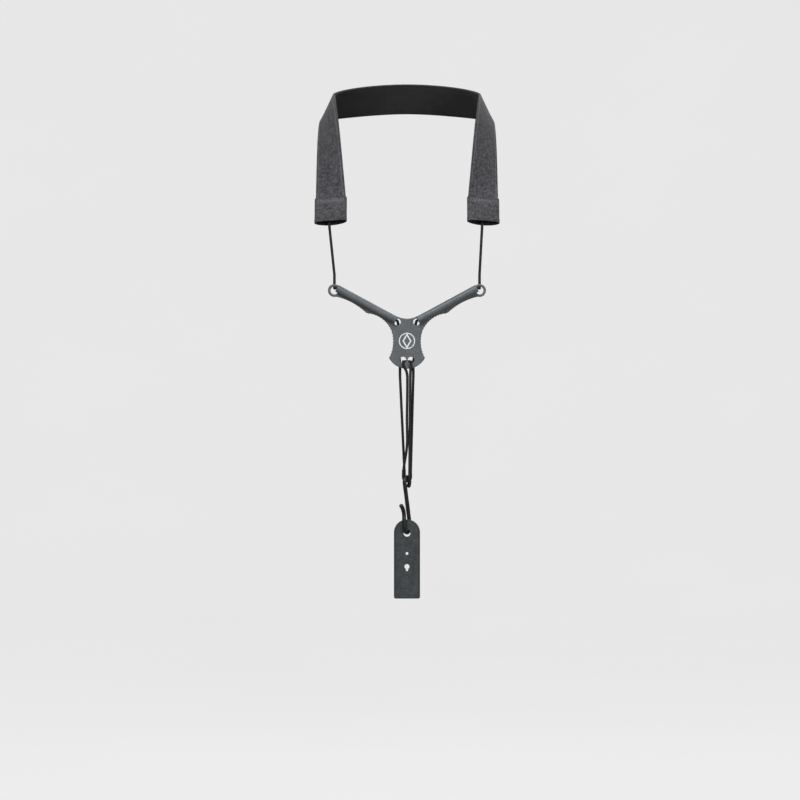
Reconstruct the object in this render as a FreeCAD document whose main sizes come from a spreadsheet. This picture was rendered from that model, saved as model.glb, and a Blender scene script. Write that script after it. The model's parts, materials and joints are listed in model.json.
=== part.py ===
import FreeCAD, Part
import math
import os

import Sketcher
from FreeCAD import Placement, Rotation, Vector

# Neck strap for a woodwind instrument, in millimetres.
# Frame: +Z up, +X to the viewer's right, the front faces -Y.
# Origin: the seat of the hook, at the inside of its lowest bend.

doc = FreeCAD.newDocument("neck_strap")
sheet = doc.addObject("Spreadsheet::Sheet", "Dimensions")

DIMENSIONS = [
    # cord
    ("cord_radius", 1.3, "radius of the round black cord"),
    ("cord_gap", 0.05, "clearance between a cord and what it rests on"),
    ("cord_wrap", 1.48, "radius of the cord's path round an edge of the plate"),
    ("pivot_gap", 0.3, "gap on each side of a pivot, where the cord bends"),
    ("cord_break", 0.9, "gap between a hanging cord and its neighbouring length"),
    ("ring_cord_length", 8.0, "length of the cord piece that tilts on the ring"),
    # hook, drawn in its own upright plane
    ("hook_turn", 64.0, "angle of the hook's plane from the strap's plane"),
    ("coating_radius", 1.95, "outer radius of the hook's black coating"),
    ("wire_radius", 1.45, "radius of the steel wire inside the coating"),
    ("bend_radius", 6.3, "centre line radius of the lower bend"),
    ("eye_radius", 5.2, "centre line radius of the cord eye"),
    ("eye_centre_z", 46.4, "height of the eye's centre"),
    ("eye_wrap", 62.0, "angle that the eye's end turns past level"),
    ("leg_top_z", 13.0, "height where the front leg starts to flare"),
    ("flare_radius", 12.5, "centre line radius of the flare"),
    ("flare_angle", 52.0, "angle of the tip from upright"),
    ("tip_length", 3.6, "straight length after the flare"),
    ("coating_cap", 0.6, "coating thickness over each wire end"),
    # leather tab
    ("tab_width", 25.0, "width of the tab"),
    ("tab_thickness", 2.2, "thickness of the leather"),
    ("tab_arc_z", -1.8, "height of the centre of the round top"),
    ("tab_bottom_z", -65.3, "height of the bottom edge"),
    ("tab_corner", 1.6, "radius of the two bottom corners"),
    ("tab_edge", 0.35, "rounding of the tab's rims"),
    ("hook_hole_radius", 3.3, "radius of the hole that the hook passes"),
    ("hook_hole_z", -2.6, "height of that hole's centre"),
    ("pin_hole_radius", 1.35, "radius of the small hole"),
    ("pin_hole_z", -22.0, "height of the small hole"),
    ("post_hole_radius", 2.4, "radius of the thumb rest hole"),
    ("post_hole_z", -34.6, "height of the thumb rest hole"),
    ("post_lobe_radius", 1.2, "radius of the lobe under the thumb rest hole"),
    ("post_lobe_drop", 3.1, "distance from the thumb rest hole to the lobe"),
    # yoke, heights from its own bottom edge
    ("yoke_bottom_z", 155.4, "height of the yoke's bottom edge"),
    ("plate_thickness", 2.8, "thickness of the yoke's plate"),
    ("plate_rounding", 0.6, "rounding of the plate's rims"),
    ("base_radius", 19.3, "radius of the bottom edge"),
    ("side_tip_x", 17.15, "half width across the side tips"),
    ("side_tip_z", 10.4, "height of the side tips"),
    ("waist_radius", 35.0, "radius of the edge around the waist"),
    ("hip_x", 14.4, "where the waist edge meets the arm edge, across"),
    ("hip_z", 34.9, "where the waist edge meets the arm edge, up"),
    ("arm_radius", 27.5, "radius of the edge under the inner arm"),
    ("step_x", 36.5, "inner end of the small step under the arm, across"),
    ("step_z", 52.9, "inner end of the small step under the arm, up"),
    ("cusp_x", 39.3, "outer end of the small step, across"),
    ("cusp_z", 53.9, "outer end of the small step, up"),
    ("outer_radius", 62.0, "radius of the edge under the outer arm"),
    ("arm_end_x", 68.2, "where the outer arm's edge runs into the ring, across"),
    ("arm_end_z", 69.3, "where the outer arm's edge runs into the ring, up"),
    ("ring_x", 69.7, "distance of each cord ring from the middle"),
    ("ring_z", 75.0, "height of the ring's centre"),
    ("ring_outer", 6.05, "outer radius of the ring"),
    ("ring_inner", 3.85, "radius of the ring's hole"),
    ("notch_top_x", 9.8, "half width of the dip in the top edge"),
    ("notch_top_z", 50.3, "height of the ends of the dip"),
    ("dip_z", 47.9, "height of the lowest point of the dip"),
    ("dip_radius", 21.0, "radius of the dip"),
    ("centre_hole_x", 9.2, "distance of each centre hole from the middle"),
    ("centre_hole_z", 44.8, "height of the centre holes"),
    ("centre_hole_radius", 3.45, "radius of the centre holes"),
    ("foot_hole_x", 3.85, "distance of each foot hole from the middle"),
    ("foot_hole_z", 8.3, "height of the foot holes"),
    ("foot_hole_radius", 3.3, "radius of the foot holes"),
    ("tube_outer", 3.5, "outer radius of the cord tube along each arm"),
    ("tube_bore", 1.75, "radius of the tube's bore"),
    ("tube_slope", 28.4, "slope of the tubes"),
    ("tube_start_x", 10.6, "inner end of the tube's axis, across"),
    ("tube_start_z", 46.5, "inner end of the tube's axis, up"),
    ("tube_length", 64.2, "length of each tube"),
    ("tube_forward", 2.6, "distance of the tube's axis in front of the plate's middle"),
    ("grip_radius", 1.3, "radius of the grip notches along the edge"),
    ("grip_depth", 0.45, "depth of the grip notches"),
    ("grip_pitch", 2.9, "distance between grip notches"),
    ("emblem_outer", 7.8, "outer radius of the emblem's ring"),
    ("emblem_inner", 6.8, "inner radius of the emblem's ring"),
    ("emblem_z", 26.6, "height of the emblem's centre"),
    ("emblem_half_width", 4.4, "half width of the lozenge"),
    ("emblem_line", 1.3, "breadth of the lozenge's frame"),
    ("emblem_thickness", 0.15, "thickness of the printed layer"),
    # cord places at the yoke and the hook
    ("cord_behind", 2.8, "distance of the cord's centre behind the plate's middle"),
    ("pivot_z", 237.6, "height where the side cords meet the rings"),
    ("drop_pivot_z", 152.0, "height where the hanging cords leave the yoke"),
    ("drop_end_z", 58.0, "height where the hanging cords meet the loops"),
    ("drop_left_x", -6.7, "left rear cord under the yoke"),
    ("drop_right_x", 6.1, "right rear cord under the yoke"),
    ("drop_front_left_x", -2.9, "left front cord under the yoke"),
    ("drop_front_right_x", 3.5, "right front cord under the yoke"),
    ("loop_spread", 1.36, "half distance between the two loops in the eye"),
    # neck band
    ("band_width", 30.0, "width of the webbing"),
    ("webbing_thickness", 1.5, "thickness of the outer webbing"),
    ("lining_width", 28.4, "width of the lining"),
    ("lining_thickness", 0.9, "thickness of the lining"),
    ("layer_gap", 0.1, "glue line between webbing and lining"),
    ("end_x", 73.4, "half distance between the band's front ends"),
    ("end_y", 10.8, "band's front end, from the yoke's plane"),
    ("end_z", 306.5, "height of the band's front ends"),
    ("end_slope", 30.0, "slope of the front ends from upright"),
    ("end_lean", 8.0, "lean of the webbing at the front ends"),
    ("shoulder_x", 77.3, "half distance between the crests"),
    ("shoulder_y", 80.7, "crest over the shoulder, from the yoke's plane"),
    ("shoulder_z", 411.3, "height of the crest's centre line"),
    ("shoulder_lean", 64.3, "lean of the webbing on the crest"),
    ("front_pull", 0.14, "share of the rise over which the band leaves its front end straight"),
    ("shoulder_pull", 0.4, "share of the rise over which the band runs level to the crest"),
    ("back_pull", 0.54, "share of the depth over which the band runs on behind the crest"),
    ("nape_pull", 0.49, "share of the half width over which the nape runs straight across"),
    ("lean_onset", 0.65, "power by which the lean grows up the front, less than 1 for an early twist"),
    ("nape_y", 140.0, "middle of the band at the nape, from the yoke's plane"),
    ("nape_z", 424.0, "height of the band's middle at the nape"),
    ("nape_lean", 84.0, "lean of the webbing at the nape"),
    # end sleeves, heights along the sleeve from its mouth
    ("sleeve_width", 31.2, "outer width of the end sleeve"),
    ("sleeve_length", 27.0, "length of the end sleeve"),
    ("sleeve_top_thickness", 4.4, "outer thickness at the top"),
    ("sleeve_mouth_thickness", 6.6, "outer thickness at the mouth"),
    ("sleeve_wall", 0.85, "thickness of the sleeve's cloth"),
    ("sleeve_overlap", 15.0, "length of band held inside the sleeve"),
    ("knot_height", 7.2, "height of the knot in the sleeve"),
    ("knot_width", 7.4, "width and length of the knot"),
    ("knot_thickness", 4.3, "thickness of the flattened knot"),
    ("knot_shift", 1.2, "distance of the knot from the sleeve's middle, towards the strap's middle"),
    ("tail_length", 4.0, "length of cord from the mouth to its bend"),
    ("stitch_radius", 0.28, "radius of the sewing thread"),
    ("stitch_length", 1.9, "length of one stitch"),
    ("stitch_pitch", 2.9, "distance between stitches"),
    ("stitch_row_one", 25.4, "height of the upper row"),
    ("stitch_row_two", 21.0, "height of the middle row"),
    ("stitch_row_three", 14.2, "height of the lower row"),
]

for row, (alias, value, meaning) in enumerate(DIMENSIONS, start=1):
    sheet.set(f"A{row}", alias)
    sheet.set(f"B{row}", str(value))
    sheet.setAlias(f"B{row}", alias)
    sheet.set(f"C{row}", meaning)
doc.recompute()


def size(alias):
    """The number that the sheet holds under this alias."""
    return float(sheet.get(alias))


# ---------------------------------------------------------------- sketch and body helpers

def new_body(label):
    body = doc.addObject("PartDesign::Body", label)
    body.Label = label
    return body


def new_sketch(body, name, role, offset=None):
    """A sketch on one of the body's own origin planes."""
    sketch = body.newObject("Sketcher::SketchObject", name)
    plane = [f for f in body.Origin.OriginFeatures if f.Role == role][0]
    sketch.AttachmentSupport = [(plane, "")]
    sketch.MapMode = "FlatFace"
    sketch.AttachmentOffset = offset or Placement()
    return sketch


def bind(sketch, constraint, expression):
    """Adds a constraint whose value the sheet drives."""
    index = sketch.addConstraint(constraint)
    sketch.setExpression(f"Constraints[{index}]", expression)


def in_sheet(name):
    """An alias, or a minus sign and an alias, as an expression on the sheet."""
    if name.startswith("-"):
        return "-Dimensions." + name[1:]
    return "Dimensions." + name


def signed_size(name):
    return -size(name[1:]) if name.startswith("-") else size(name)


def pin_point(sketch, geometry, end, across, up):
    """Ties a point of the sketch to two aliases; None keeps it on that axis."""
    if across is None:
        sketch.addConstraint(Sketcher.Constraint("PointOnObject", geometry, end, -2))
    else:
        distance = Sketcher.Constraint("DistanceX", -1, 1, geometry, end, signed_size(across))
        bind(sketch, distance, in_sheet(across))
    if up is None:
        sketch.addConstraint(Sketcher.Constraint("PointOnObject", geometry, end, -1))
    else:
        distance = Sketcher.Constraint("DistanceY", -1, 1, geometry, end, signed_size(up))
        bind(sketch, distance, in_sheet(up))


def point_of(across, up):
    return Vector(signed_size(across) if across else 0.0, signed_size(up) if up else 0.0, 0)


def arc_centre(start, end, radius, turn):
    """Centre of the arc from start to end; turn 1 puts it left of the chord, -1 right."""
    chord = end - start
    across = Vector(-chord.y, chord.x, 0).normalize()
    return (start + end) * 0.5 + across * (turn * math.sqrt(radius ** 2 - chord.Length ** 2 / 4))


def add_arc(sketch, start, end, radius, turn):
    """Adds that arc and returns its index with the end numbers of start and end."""
    centre = arc_centre(start, end, radius, turn)
    first, last = (start, end) if turn > 0 else (end, start)
    angle_one = math.atan2(first.y - centre.y, first.x - centre.x)
    angle_two = math.atan2(last.y - centre.y, last.x - centre.x)
    circle = Part.Circle(centre, Vector(0, 0, 1), radius)
    index = sketch.addGeometry(Part.ArcOfCircle(circle, angle_one, angle_two))
    return (index, 1, 2) if turn > 0 else (index, 2, 1)


def add_outline(sketch, corners, edges):
    """A closed outline. Corners are alias pairs; an edge is None for a line or (radius alias, turn)."""
    points = [point_of(*corner) for corner in corners]
    placed = []
    for number, edge in enumerate(edges):
        start, end = points[number], points[(number + 1) % len(points)]
        if edge is None:
            placed.append((sketch.addGeometry(Part.LineSegment(start, end)), 1, 2))
        else:
            placed.append(add_arc(sketch, start, end, size(edge[0]), edge[1]))
    for number, (index, start_end, finish_end) in enumerate(placed):
        following, next_start, _ = placed[(number + 1) % len(placed)]
        joined = Sketcher.Constraint("Coincident", index, finish_end, following, next_start)
        sketch.addConstraint(joined)
        if edges[number]:
            radius = Sketcher.Constraint("Radius", index, size(edges[number][0]))
            bind(sketch, radius, in_sheet(edges[number][0]))
        pin_point(sketch, index, start_end, *corners[number])


def add_circle(sketch, radius, across=None, up=None):
    centre = point_of(across, up)
    index = sketch.addGeometry(Part.Circle(centre, Vector(0, 0, 1), size(radius)))
    bind(sketch, Sketcher.Constraint("Radius", index, size(radius)), in_sheet(radius))
    pin_point(sketch, index, 3, across, up)


def add_rectangle(sketch, low_x, high_x, low_y, high_y, width, height):
    """A rectangle of width by height (expressions), kept centred or cornered as it is drawn."""
    corners = [(low_x, low_y), (high_x, low_y), (high_x, high_y), (low_x, high_y)]
    lines = []
    for number in range(4):
        start = Vector(*corners[number], 0)
        end = Vector(*corners[(number + 1) % 4], 0)
        lines.append(sketch.addGeometry(Part.LineSegment(start, end)))
    for number in range(4):
        following = lines[(number + 1) % 4]
        sketch.addConstraint(Sketcher.Constraint("Coincident", lines[number], 2, following, 1))
        kind = "Horizontal" if number % 2 == 0 else "Vertical"
        sketch.addConstraint(Sketcher.Constraint(kind, lines[number]))
    bind(sketch, Sketcher.Constraint("DistanceX", lines[0], 1, lines[0], 2, high_x - low_x), width)
    bind(sketch, Sketcher.Constraint("DistanceY", lines[1], 1, lines[1], 2, high_y - low_y), height)
    if low_x == -high_x:
        sketch.addConstraint(Sketcher.Constraint("Symmetric", lines[0], 1, lines[2], 1, -1, 1))
    else:
        sketch.addConstraint(Sketcher.Constraint("Coincident", lines[0], 1, -1, 1))


def pad(body, name, sketch, thickness):
    """A pad on both sides of its sketch."""
    feature = body.newObject("PartDesign::Pad", name)
    feature.Profile = sketch
    feature.SideType = "Symmetric"
    feature.setExpression("Length", thickness)
    return feature


def pocket(body, name, sketch):
    """A pocket through everything, on both sides of its sketch."""
    feature = body.newObject("PartDesign::Pocket", name)
    feature.Profile = sketch
    feature.SideType = "Symmetric"
    feature.Type = "ThroughAll"
    return feature


def must_cut(body, feature, before):
    """Stops when a cutting feature has removed nothing."""
    doc.recompute()
    if body.Shape.Volume >= before - 1e-6:
        raise RuntimeError(f"{feature.Label} removed nothing from {body.Label}")


# ---------------------------------------------------------------- yoke

def arc_frame(start, end, radius, turn):
    """Centre of an edge arc, and the angles of its start and end seen from there."""
    first, last = point_of(*start), point_of(*end)
    centre = arc_centre(first, last, size(radius), turn)
    angles = [math.degrees(math.atan2(p.y - centre.y, p.x - centre.x)) for p in (first, last)]
    return centre, angles[0], angles[1]


def cut_grip(body, name, start, end, radius, turn):
    """A row of shallow notches along one arc of the edge, as a polar pattern round its centre."""
    centre, first, last = arc_frame(start, end, radius, turn)
    reach = size(radius) - size("grip_radius") + size("grip_depth")
    sweep = (first - last) % 360
    if sweep > 180:
        sweep -= 360
    step = math.degrees(size("grip_pitch") / size(radius))
    count = int(abs(sweep) / step)
    margin = (abs(sweep) - (count - 1) * step) / 2
    heading = first - math.copysign(margin, sweep)
    turned = Placement(centre, Rotation(Vector(0, 0, 1), heading))
    sketch = new_sketch(body, name + "_profile", "XZ_Plane", turned)
    index = sketch.addGeometry(Part.Circle(Vector(reach, 0, 0), Vector(0, 0, 1), size("grip_radius")))
    bind(sketch, Sketcher.Constraint("Radius", index, size("grip_radius")), in_sheet("grip_radius"))
    sketch.addConstraint(Sketcher.Constraint("PointOnObject", index, 3, -1))
    bind(sketch, Sketcher.Constraint("DistanceX", -1, 1, index, 3, reach),
         f"Dimensions.{radius} - Dimensions.grip_radius + Dimensions.grip_depth")
    before = body.Shape.Volume
    notch = pocket(body, name + "_notch", sketch)
    must_cut(body, notch, before)
    before = body.Shape.Volume
    pattern = body.newObject("PartDesign::PolarPattern", name)
    pattern.Originals = [notch]
    pattern.Axis = (sketch, ["N_Axis"])
    pattern.Mode = "Spacing"
    pattern.Offset = step
    pattern.Occurrences = count
    pattern.Reversed = sweep > 0
    body.Tip = pattern
    must_cut(body, pattern, before)


def add_tube(body, name, kind, radius):
    """A cylinder along the arm, added as the tube or cut as its bore."""
    tube = body.newObject(kind, name)
    start = Vector(size("tube_start_x"), -size("tube_forward"), size("tube_start_z"))
    tube.Placement = Placement(start, Rotation(Vector(0, 0, 1), tube_direction()))
    tube.setExpression("Radius", radius)
    tube.setExpression("Height", "Dimensions.tube_length")
    doc.recompute()
    return tube


def build_yoke():
    """The moulded yoke: plate, two arms with cord tubes, rings, holes and grip edges."""
    body = new_body("yoke")
    body.setExpression("Placement.Base.z", "Dimensions.yoke_bottom_z")

    tip = ("side_tip_x", "side_tip_z")
    hip = ("hip_x", "hip_z")
    step = ("step_x", "step_z")
    cusp = ("cusp_x", "cusp_z")
    ring = ("ring_x", "ring_z")
    arm_end = ("arm_end_x", "arm_end_z")
    dip_end = ("notch_top_x", "notch_top_z")
    corners = [(None, None), tip, hip, step, cusp, arm_end, ring, dip_end, (None, "dip_z")]
    edges = [("base_radius", 1), ("waist_radius", -1), ("arm_radius", -1), None,
             ("outer_radius", -1), None, None, ("dip_radius", -1), None]
    outline = new_sketch(body, "plate_outline", "XZ_Plane")
    add_outline(outline, corners, edges)
    plate = pad(body, "plate", outline, "Dimensions.plate_thickness")
    doc.recompute()

    rims = []
    for number, edge in enumerate(plate.Shape.Edges, start=1):
        ends = [v.Point for v in edge.Vertexes]
        curved = edge.Curve.TypeId == "Part::GeomCircle"
        step_length = (point_of(*cusp) - point_of(*step)).Length
        if abs(ends[0].y - ends[1].y) < 1e-6 and (curved or abs(edge.Length - step_length) < 1e-3):
            rims.append(f"Edge{number}")
    rounding = body.newObject("PartDesign::Fillet", "plate_rims")
    rounding.Base = (plate, rims)
    rounding.setExpression("Radius", "Dimensions.plate_rounding")
    doc.recompute()

    boss = new_sketch(body, "ring_outline", "XZ_Plane")
    add_circle(boss, "ring_outer", *ring)
    ring_pad = pad(body, "ring", boss, "Dimensions.plate_thickness")
    doc.recompute()

    holes = new_sketch(body, "hole_outlines", "XZ_Plane")
    add_circle(holes, "ring_inner", *ring)
    add_circle(holes, "centre_hole_radius", "centre_hole_x", "centre_hole_z")
    add_circle(holes, "foot_hole_radius", "foot_hole_x", "foot_hole_z")
    before = body.Shape.Volume
    must_cut(body, pocket(body, "holes", holes), before)

    add_tube(body, "tube", "PartDesign::AdditiveCylinder", "Dimensions.tube_outer")
    before = body.Shape.Volume
    bore = add_tube(body, "bore", "PartDesign::SubtractiveCylinder", "Dimensions.tube_bore")
    must_cut(body, bore, before)

    cut_grip(body, "grip_waist", tip, hip, "waist_radius", -1)
    cut_grip(body, "grip_arm", hip, step, "arm_radius", -1)

    mirror = body.newObject("PartDesign::Mirrored", "other_half")
    mirror.TransformMode = "Whole shape"
    mirror.MirrorPlane = ([f for f in body.Origin.OriginFeatures if f.Role == "YZ_Plane"][0], [""])
    body.Tip = mirror
    doc.recompute()
    return body


def build_emblem():
    """A plain lozenge in a ring, as a thin printed layer on the yoke's front."""
    body = new_body("yoke_emblem")
    front = size("plate_thickness") / 2 + size("cord_gap") + size("emblem_thickness") / 2
    body.Placement = Placement(
        Vector(0, -front, size("yoke_bottom_z") + size("emblem_z")), Rotation())
    ring = new_sketch(body, "ring_outline", "XZ_Plane")
    add_circle(ring, "emblem_outer")
    add_circle(ring, "emblem_inner")
    pad(body, "emblem_ring", ring, "Dimensions.emblem_thickness")
    doc.recompute()
    add_lozenge(body, "lozenge", 0.0, "PartDesign::Pad")
    add_lozenge(body, "lozenge_window", size("emblem_line"), "PartDesign::Pocket")
    return body


def add_lozenge(body, name, inset, kind):
    """A lozenge that reaches the ring at top and bottom, padded, or cut when inset."""
    sketch = new_sketch(body, name + "_outline", "XZ_Plane")
    half_width = size("emblem_half_width")
    half_height = (size("emblem_outer") + size("emblem_inner")) / 2
    shrink = inset / math.cos(math.atan2(half_width, half_height)) / half_width
    reach_x = half_width * (1 - shrink)
    reach_y = half_height * (1 - shrink)
    points = [Vector(reach_x, 0, 0), Vector(0, reach_y, 0), Vector(-reach_x, 0, 0), Vector(0, -reach_y, 0)]
    for number in range(4):
        sketch.addGeometry(Part.LineSegment(points[number], points[(number + 1) % 4]))
    for number in range(4):
        joined = Sketcher.Constraint("Coincident", number, 2, (number + 1) % 4, 1)
        sketch.addConstraint(joined)
        across = Sketcher.Constraint("DistanceX", -1, 1, number, 1, points[number].x)
        up = Sketcher.Constraint("DistanceY", -1, 1, number, 1, points[number].y)
        sketch.addConstraint(across)
        sketch.addConstraint(up)
    if kind == "PartDesign::Pad":
        pad(body, name, sketch, "Dimensions.emblem_thickness")
        doc.recompute()
    else:
        before = body.Shape.Volume
        must_cut(body, pocket(body, name, sketch), before)


# ---------------------------------------------------------------- hook

def hook_path():
    """Corner points of the hook's centre line in its own plane, from the tip to the eye's end."""
    bend = size("bend_radius")
    eye = size("eye_radius")
    bend_centre = Vector(0, bend - size("coating_radius"), 0)
    eye_centre = Vector(0, size("eye_centre_z"), 0)
    rise = eye_centre.y - bend_centre.y
    cross = math.asin((bend + eye) / rise)
    shank_low = bend_centre + Vector(math.cos(cross), math.sin(cross), 0) * bend
    shank_high = eye_centre - Vector(math.cos(cross), math.sin(cross), 0) * eye
    flare = math.radians(size("flare_angle"))
    radius = size("flare_radius")
    leg_low = bend_centre - Vector(bend, 0, 0)
    leg_top = Vector(-bend, size("leg_top_z"), 0)
    flare_end = leg_top + Vector(-radius * (1 - math.cos(flare)), radius * math.sin(flare), 0)
    heading = Vector(-math.sin(flare), math.cos(flare), 0)
    tip = flare_end + heading * size("tip_length")
    wrap = math.radians(size("eye_wrap"))
    eye_end = eye_centre + Vector(math.cos(wrap), -math.sin(wrap), 0) * eye
    return {
        "tip": tip, "heading": heading, "flare_end": flare_end, "leg_top": leg_top,
        "leg_low": leg_low, "shank_low": shank_low, "shank_high": shank_high,
        "eye_end": eye_end, "eye_centre": eye_centre, "bend_centre": bend_centre,
    }


def add_hook_line(body, name, shorten):
    """Sketch of the hook's centre line; shorten takes that much off both ends."""
    path = hook_path()
    sketch = new_sketch(body, name, "XZ_Plane")
    tip = path["tip"] - path["heading"] * shorten
    turn_back = shorten / size("eye_radius")
    wrap = math.radians(size("eye_wrap")) - turn_back
    eye_end = path["eye_centre"] + Vector(math.cos(wrap), -math.sin(wrap), 0) * size("eye_radius")
    flare_centre = path["leg_top"] - Vector(size("flare_radius"), 0, 0)
    pieces = [
        (None, tip, path["flare_end"]),
        (flare_centre, path["flare_end"], path["leg_top"]),
        (None, path["leg_top"], path["leg_low"]),
        (path["bend_centre"], path["leg_low"], path["shank_low"]),
        (None, path["shank_low"], path["shank_high"]),
        (path["eye_centre"], path["shank_high"], eye_end),
    ]
    for centre, start, end in pieces:
        if centre is None:
            sketch.addGeometry(Part.LineSegment(start, end))
            continue
        clockwise = centre is not path["bend_centre"]
        first, last = (end, start) if clockwise else (start, end)
        angle_one = math.atan2(first.y - centre.y, first.x - centre.x)
        angle_two = math.atan2(last.y - centre.y, last.x - centre.x)
        circle = Part.Circle(centre, Vector(0, 0, 1), (start - centre).Length)
        sketch.addGeometry(Part.ArcOfCircle(circle, angle_one, angle_two))
    for index in range(sketch.GeometryCount):
        sketch.addConstraint(Sketcher.Constraint("Block", index))
    return sketch, tip


def add_hook_section(body, name, tip, radius):
    """Round section across the hook's tip, turned to face along the wire."""
    turned = Placement(
        Vector(tip.x, 0, tip.y), Rotation(Vector(0, 1, 0), -size("flare_angle")))
    sketch = new_sketch(body, name, "XY_Plane", turned)
    add_circle(sketch, radius)
    return sketch


def add_wire(body, name, section, line, kind):
    feature = body.newObject(kind, name)
    feature.Profile = section
    feature.Spine = (line, [f"Edge{number + 1}" for number in range(line.GeometryCount)])
    doc.recompute()
    return feature


def round_ends(body, feature, radius):
    """Rounds the two flat ends of a bent wire."""
    ends = []
    for number, edge in enumerate(feature.Shape.Edges, start=1):
        if edge.Curve.TypeId != "Part::GeomCircle" or len(edge.Vertexes) != 1:
            continue
        faces = feature.Shape.ancestorsOfType(edge, Part.Face)
        if any(face.Surface.TypeId == "Part::GeomPlane" for face in faces):
            ends.append(f"Edge{number}")
    rounding = body.newObject("PartDesign::Fillet", "round_ends")
    rounding.Base = (feature, ends)
    rounding.Radius = radius
    doc.recompute()


def build_hook_coating():
    """Black coating, a closed sleeve over the whole hook wire."""
    body = new_body("hook_coating")
    line, tip = add_hook_line(body, "coating_line", 0.0)
    section = add_hook_section(body, "coating_section", tip, "coating_radius")
    outside = add_wire(body, "outside", section, line, "PartDesign::AdditivePipe")
    round_ends(body, outside, size("coating_radius") * 0.85)
    before = body.Shape.Volume
    inner_line, inner_tip = add_hook_line(body, "wire_line", size("coating_cap"))
    inner_section = add_hook_section(body, "wire_section", inner_tip, "wire_radius")
    inside = add_wire(body, "wire_space", inner_section, inner_line, "PartDesign::SubtractivePipe")
    must_cut(body, inside, before)
    body.Placement = Placement(Vector(), Rotation(Vector(0, 0, 1), size("hook_turn")))
    return body


def build_hook_wire():
    """Bent steel wire inside the coating."""
    body = new_body("hook_wire")
    line, tip = add_hook_line(body, "wire_line", size("coating_cap"))
    section = add_hook_section(body, "wire_section", tip, "wire_radius")
    add_wire(body, "wire", section, line, "PartDesign::AdditivePipe")
    body.Placement = Placement(Vector(), Rotation(Vector(0, 0, 1), size("hook_turn")))
    return body


# ---------------------------------------------------------------- leather tab

def build_tab():
    """Leather tab: round top, hole for the hook, small hole and thumb rest keyhole."""
    body = new_body("leather_tab")
    half = size("tab_width") / 2
    corner = size("tab_corner")
    top = size("tab_arc_z")
    bottom = size("tab_bottom_z")
    outline = new_sketch(body, "tab_outline", "XZ_Plane")
    runs = [
        Part.LineSegment(Vector(-half + corner, bottom, 0), Vector(half - corner, bottom, 0)),
        Part.ArcOfCircle(Part.Circle(Vector(half - corner, bottom + corner, 0), Vector(0, 0, 1), corner),
                         -math.pi / 2, 0),
        Part.LineSegment(Vector(half, bottom + corner, 0), Vector(half, top, 0)),
        Part.ArcOfCircle(Part.Circle(Vector(0, top, 0), Vector(0, 0, 1), half), 0, math.pi),
        Part.LineSegment(Vector(-half, top, 0), Vector(-half, bottom + corner, 0)),
        Part.ArcOfCircle(Part.Circle(Vector(-half + corner, bottom + corner, 0), Vector(0, 0, 1), corner),
                         math.pi, 1.5 * math.pi),
    ]
    for run in runs:
        outline.addGeometry(run)
    for index in range(len(runs)):
        following = (index + 1) % len(runs)
        outline.addConstraint(Sketcher.Constraint("Tangent", index, 2, following, 1))
    outline.addConstraint(Sketcher.Constraint("Horizontal", 0))
    outline.addConstraint(Sketcher.Constraint("Vertical", 2))
    outline.addConstraint(Sketcher.Constraint("PointOnObject", 3, 3, -2))
    bind(outline, Sketcher.Constraint("Radius", 1, corner), in_sheet("tab_corner"))
    bind(outline, Sketcher.Constraint("Radius", 5, corner), in_sheet("tab_corner"))
    bind(outline, Sketcher.Constraint("Radius", 3, half), "Dimensions.tab_width / 2")
    bind(outline, Sketcher.Constraint("DistanceY", -1, 1, 3, 3, top), in_sheet("tab_arc_z"))
    bind(outline, Sketcher.Constraint("DistanceY", -1, 1, 0, 1, bottom), in_sheet("tab_bottom_z"))
    leather = pad(body, "leather", outline, "Dimensions.tab_thickness")
    doc.recompute()

    rims = []
    for number, edge in enumerate(leather.Shape.Edges, start=1):
        ends = [v.Point.y for v in edge.Vertexes]
        if abs(ends[0] - ends[-1]) < 1e-6:
            rims.append(f"Edge{number}")
    rounding = body.newObject("PartDesign::Fillet", "tab_rims")
    rounding.Base = (leather, rims)
    rounding.setExpression("Radius", "Dimensions.tab_edge")
    doc.recompute()

    holes = new_sketch(body, "tab_holes", "XZ_Plane")
    add_circle(holes, "hook_hole_radius", None, "hook_hole_z")
    add_circle(holes, "pin_hole_radius", None, "pin_hole_z")
    add_circle(holes, "post_hole_radius", None, "post_hole_z")
    before = body.Shape.Volume
    must_cut(body, pocket(body, "holes", holes), before)

    lobe = new_sketch(body, "lobe_outline", "XZ_Plane")
    index = lobe.addGeometry(Part.Circle(
        Vector(0, size("post_hole_z") - size("post_lobe_drop"), 0),
        Vector(0, 0, 1), size("post_lobe_radius")))
    bind(lobe, Sketcher.Constraint("Radius", index, size("post_lobe_radius")), in_sheet("post_lobe_radius"))
    lobe.addConstraint(Sketcher.Constraint("PointOnObject", index, 3, -2))
    low = size("post_hole_z") - size("post_lobe_drop")
    bind(lobe, Sketcher.Constraint("DistanceY", -1, 1, index, 3, low),
         "Dimensions.post_hole_z - Dimensions.post_lobe_drop")
    before = body.Shape.Volume
    must_cut(body, pocket(body, "lobe", lobe), before)
    return body


# ---------------------------------------------------------------- cord

def build_cord(label, points):
    """A length of round cord swept along a smooth line through the points."""
    if len(points) == 2:
        edge = Part.makeLine(points[0], points[1])
        heading = points[1] - points[0]
    else:
        curve = Part.BSplineCurve()
        curve.interpolate(points)
        edge = curve.toShape()
        heading = curve.tangent(curve.FirstParameter)[0]
    line = doc.addObject("Part::Feature", label + "_line")
    line.Shape = edge
    section = doc.addObject("Part::Circle", label + "_section")
    section.setExpression("Radius", "Dimensions.cord_radius")
    section.Placement = Placement(points[0], Rotation(Vector(0, 0, 1), heading))
    cord = doc.addObject("Part::Sweep", label)
    cord.Label = label
    cord.Sections = [section]
    cord.Spine = (line, ["Edge1"])
    cord.Solid = True
    cord.Frenet = False
    return cord


def mirrored(points, side):
    return [Vector(p.x * side, p.y, p.z) for p in points]


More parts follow.
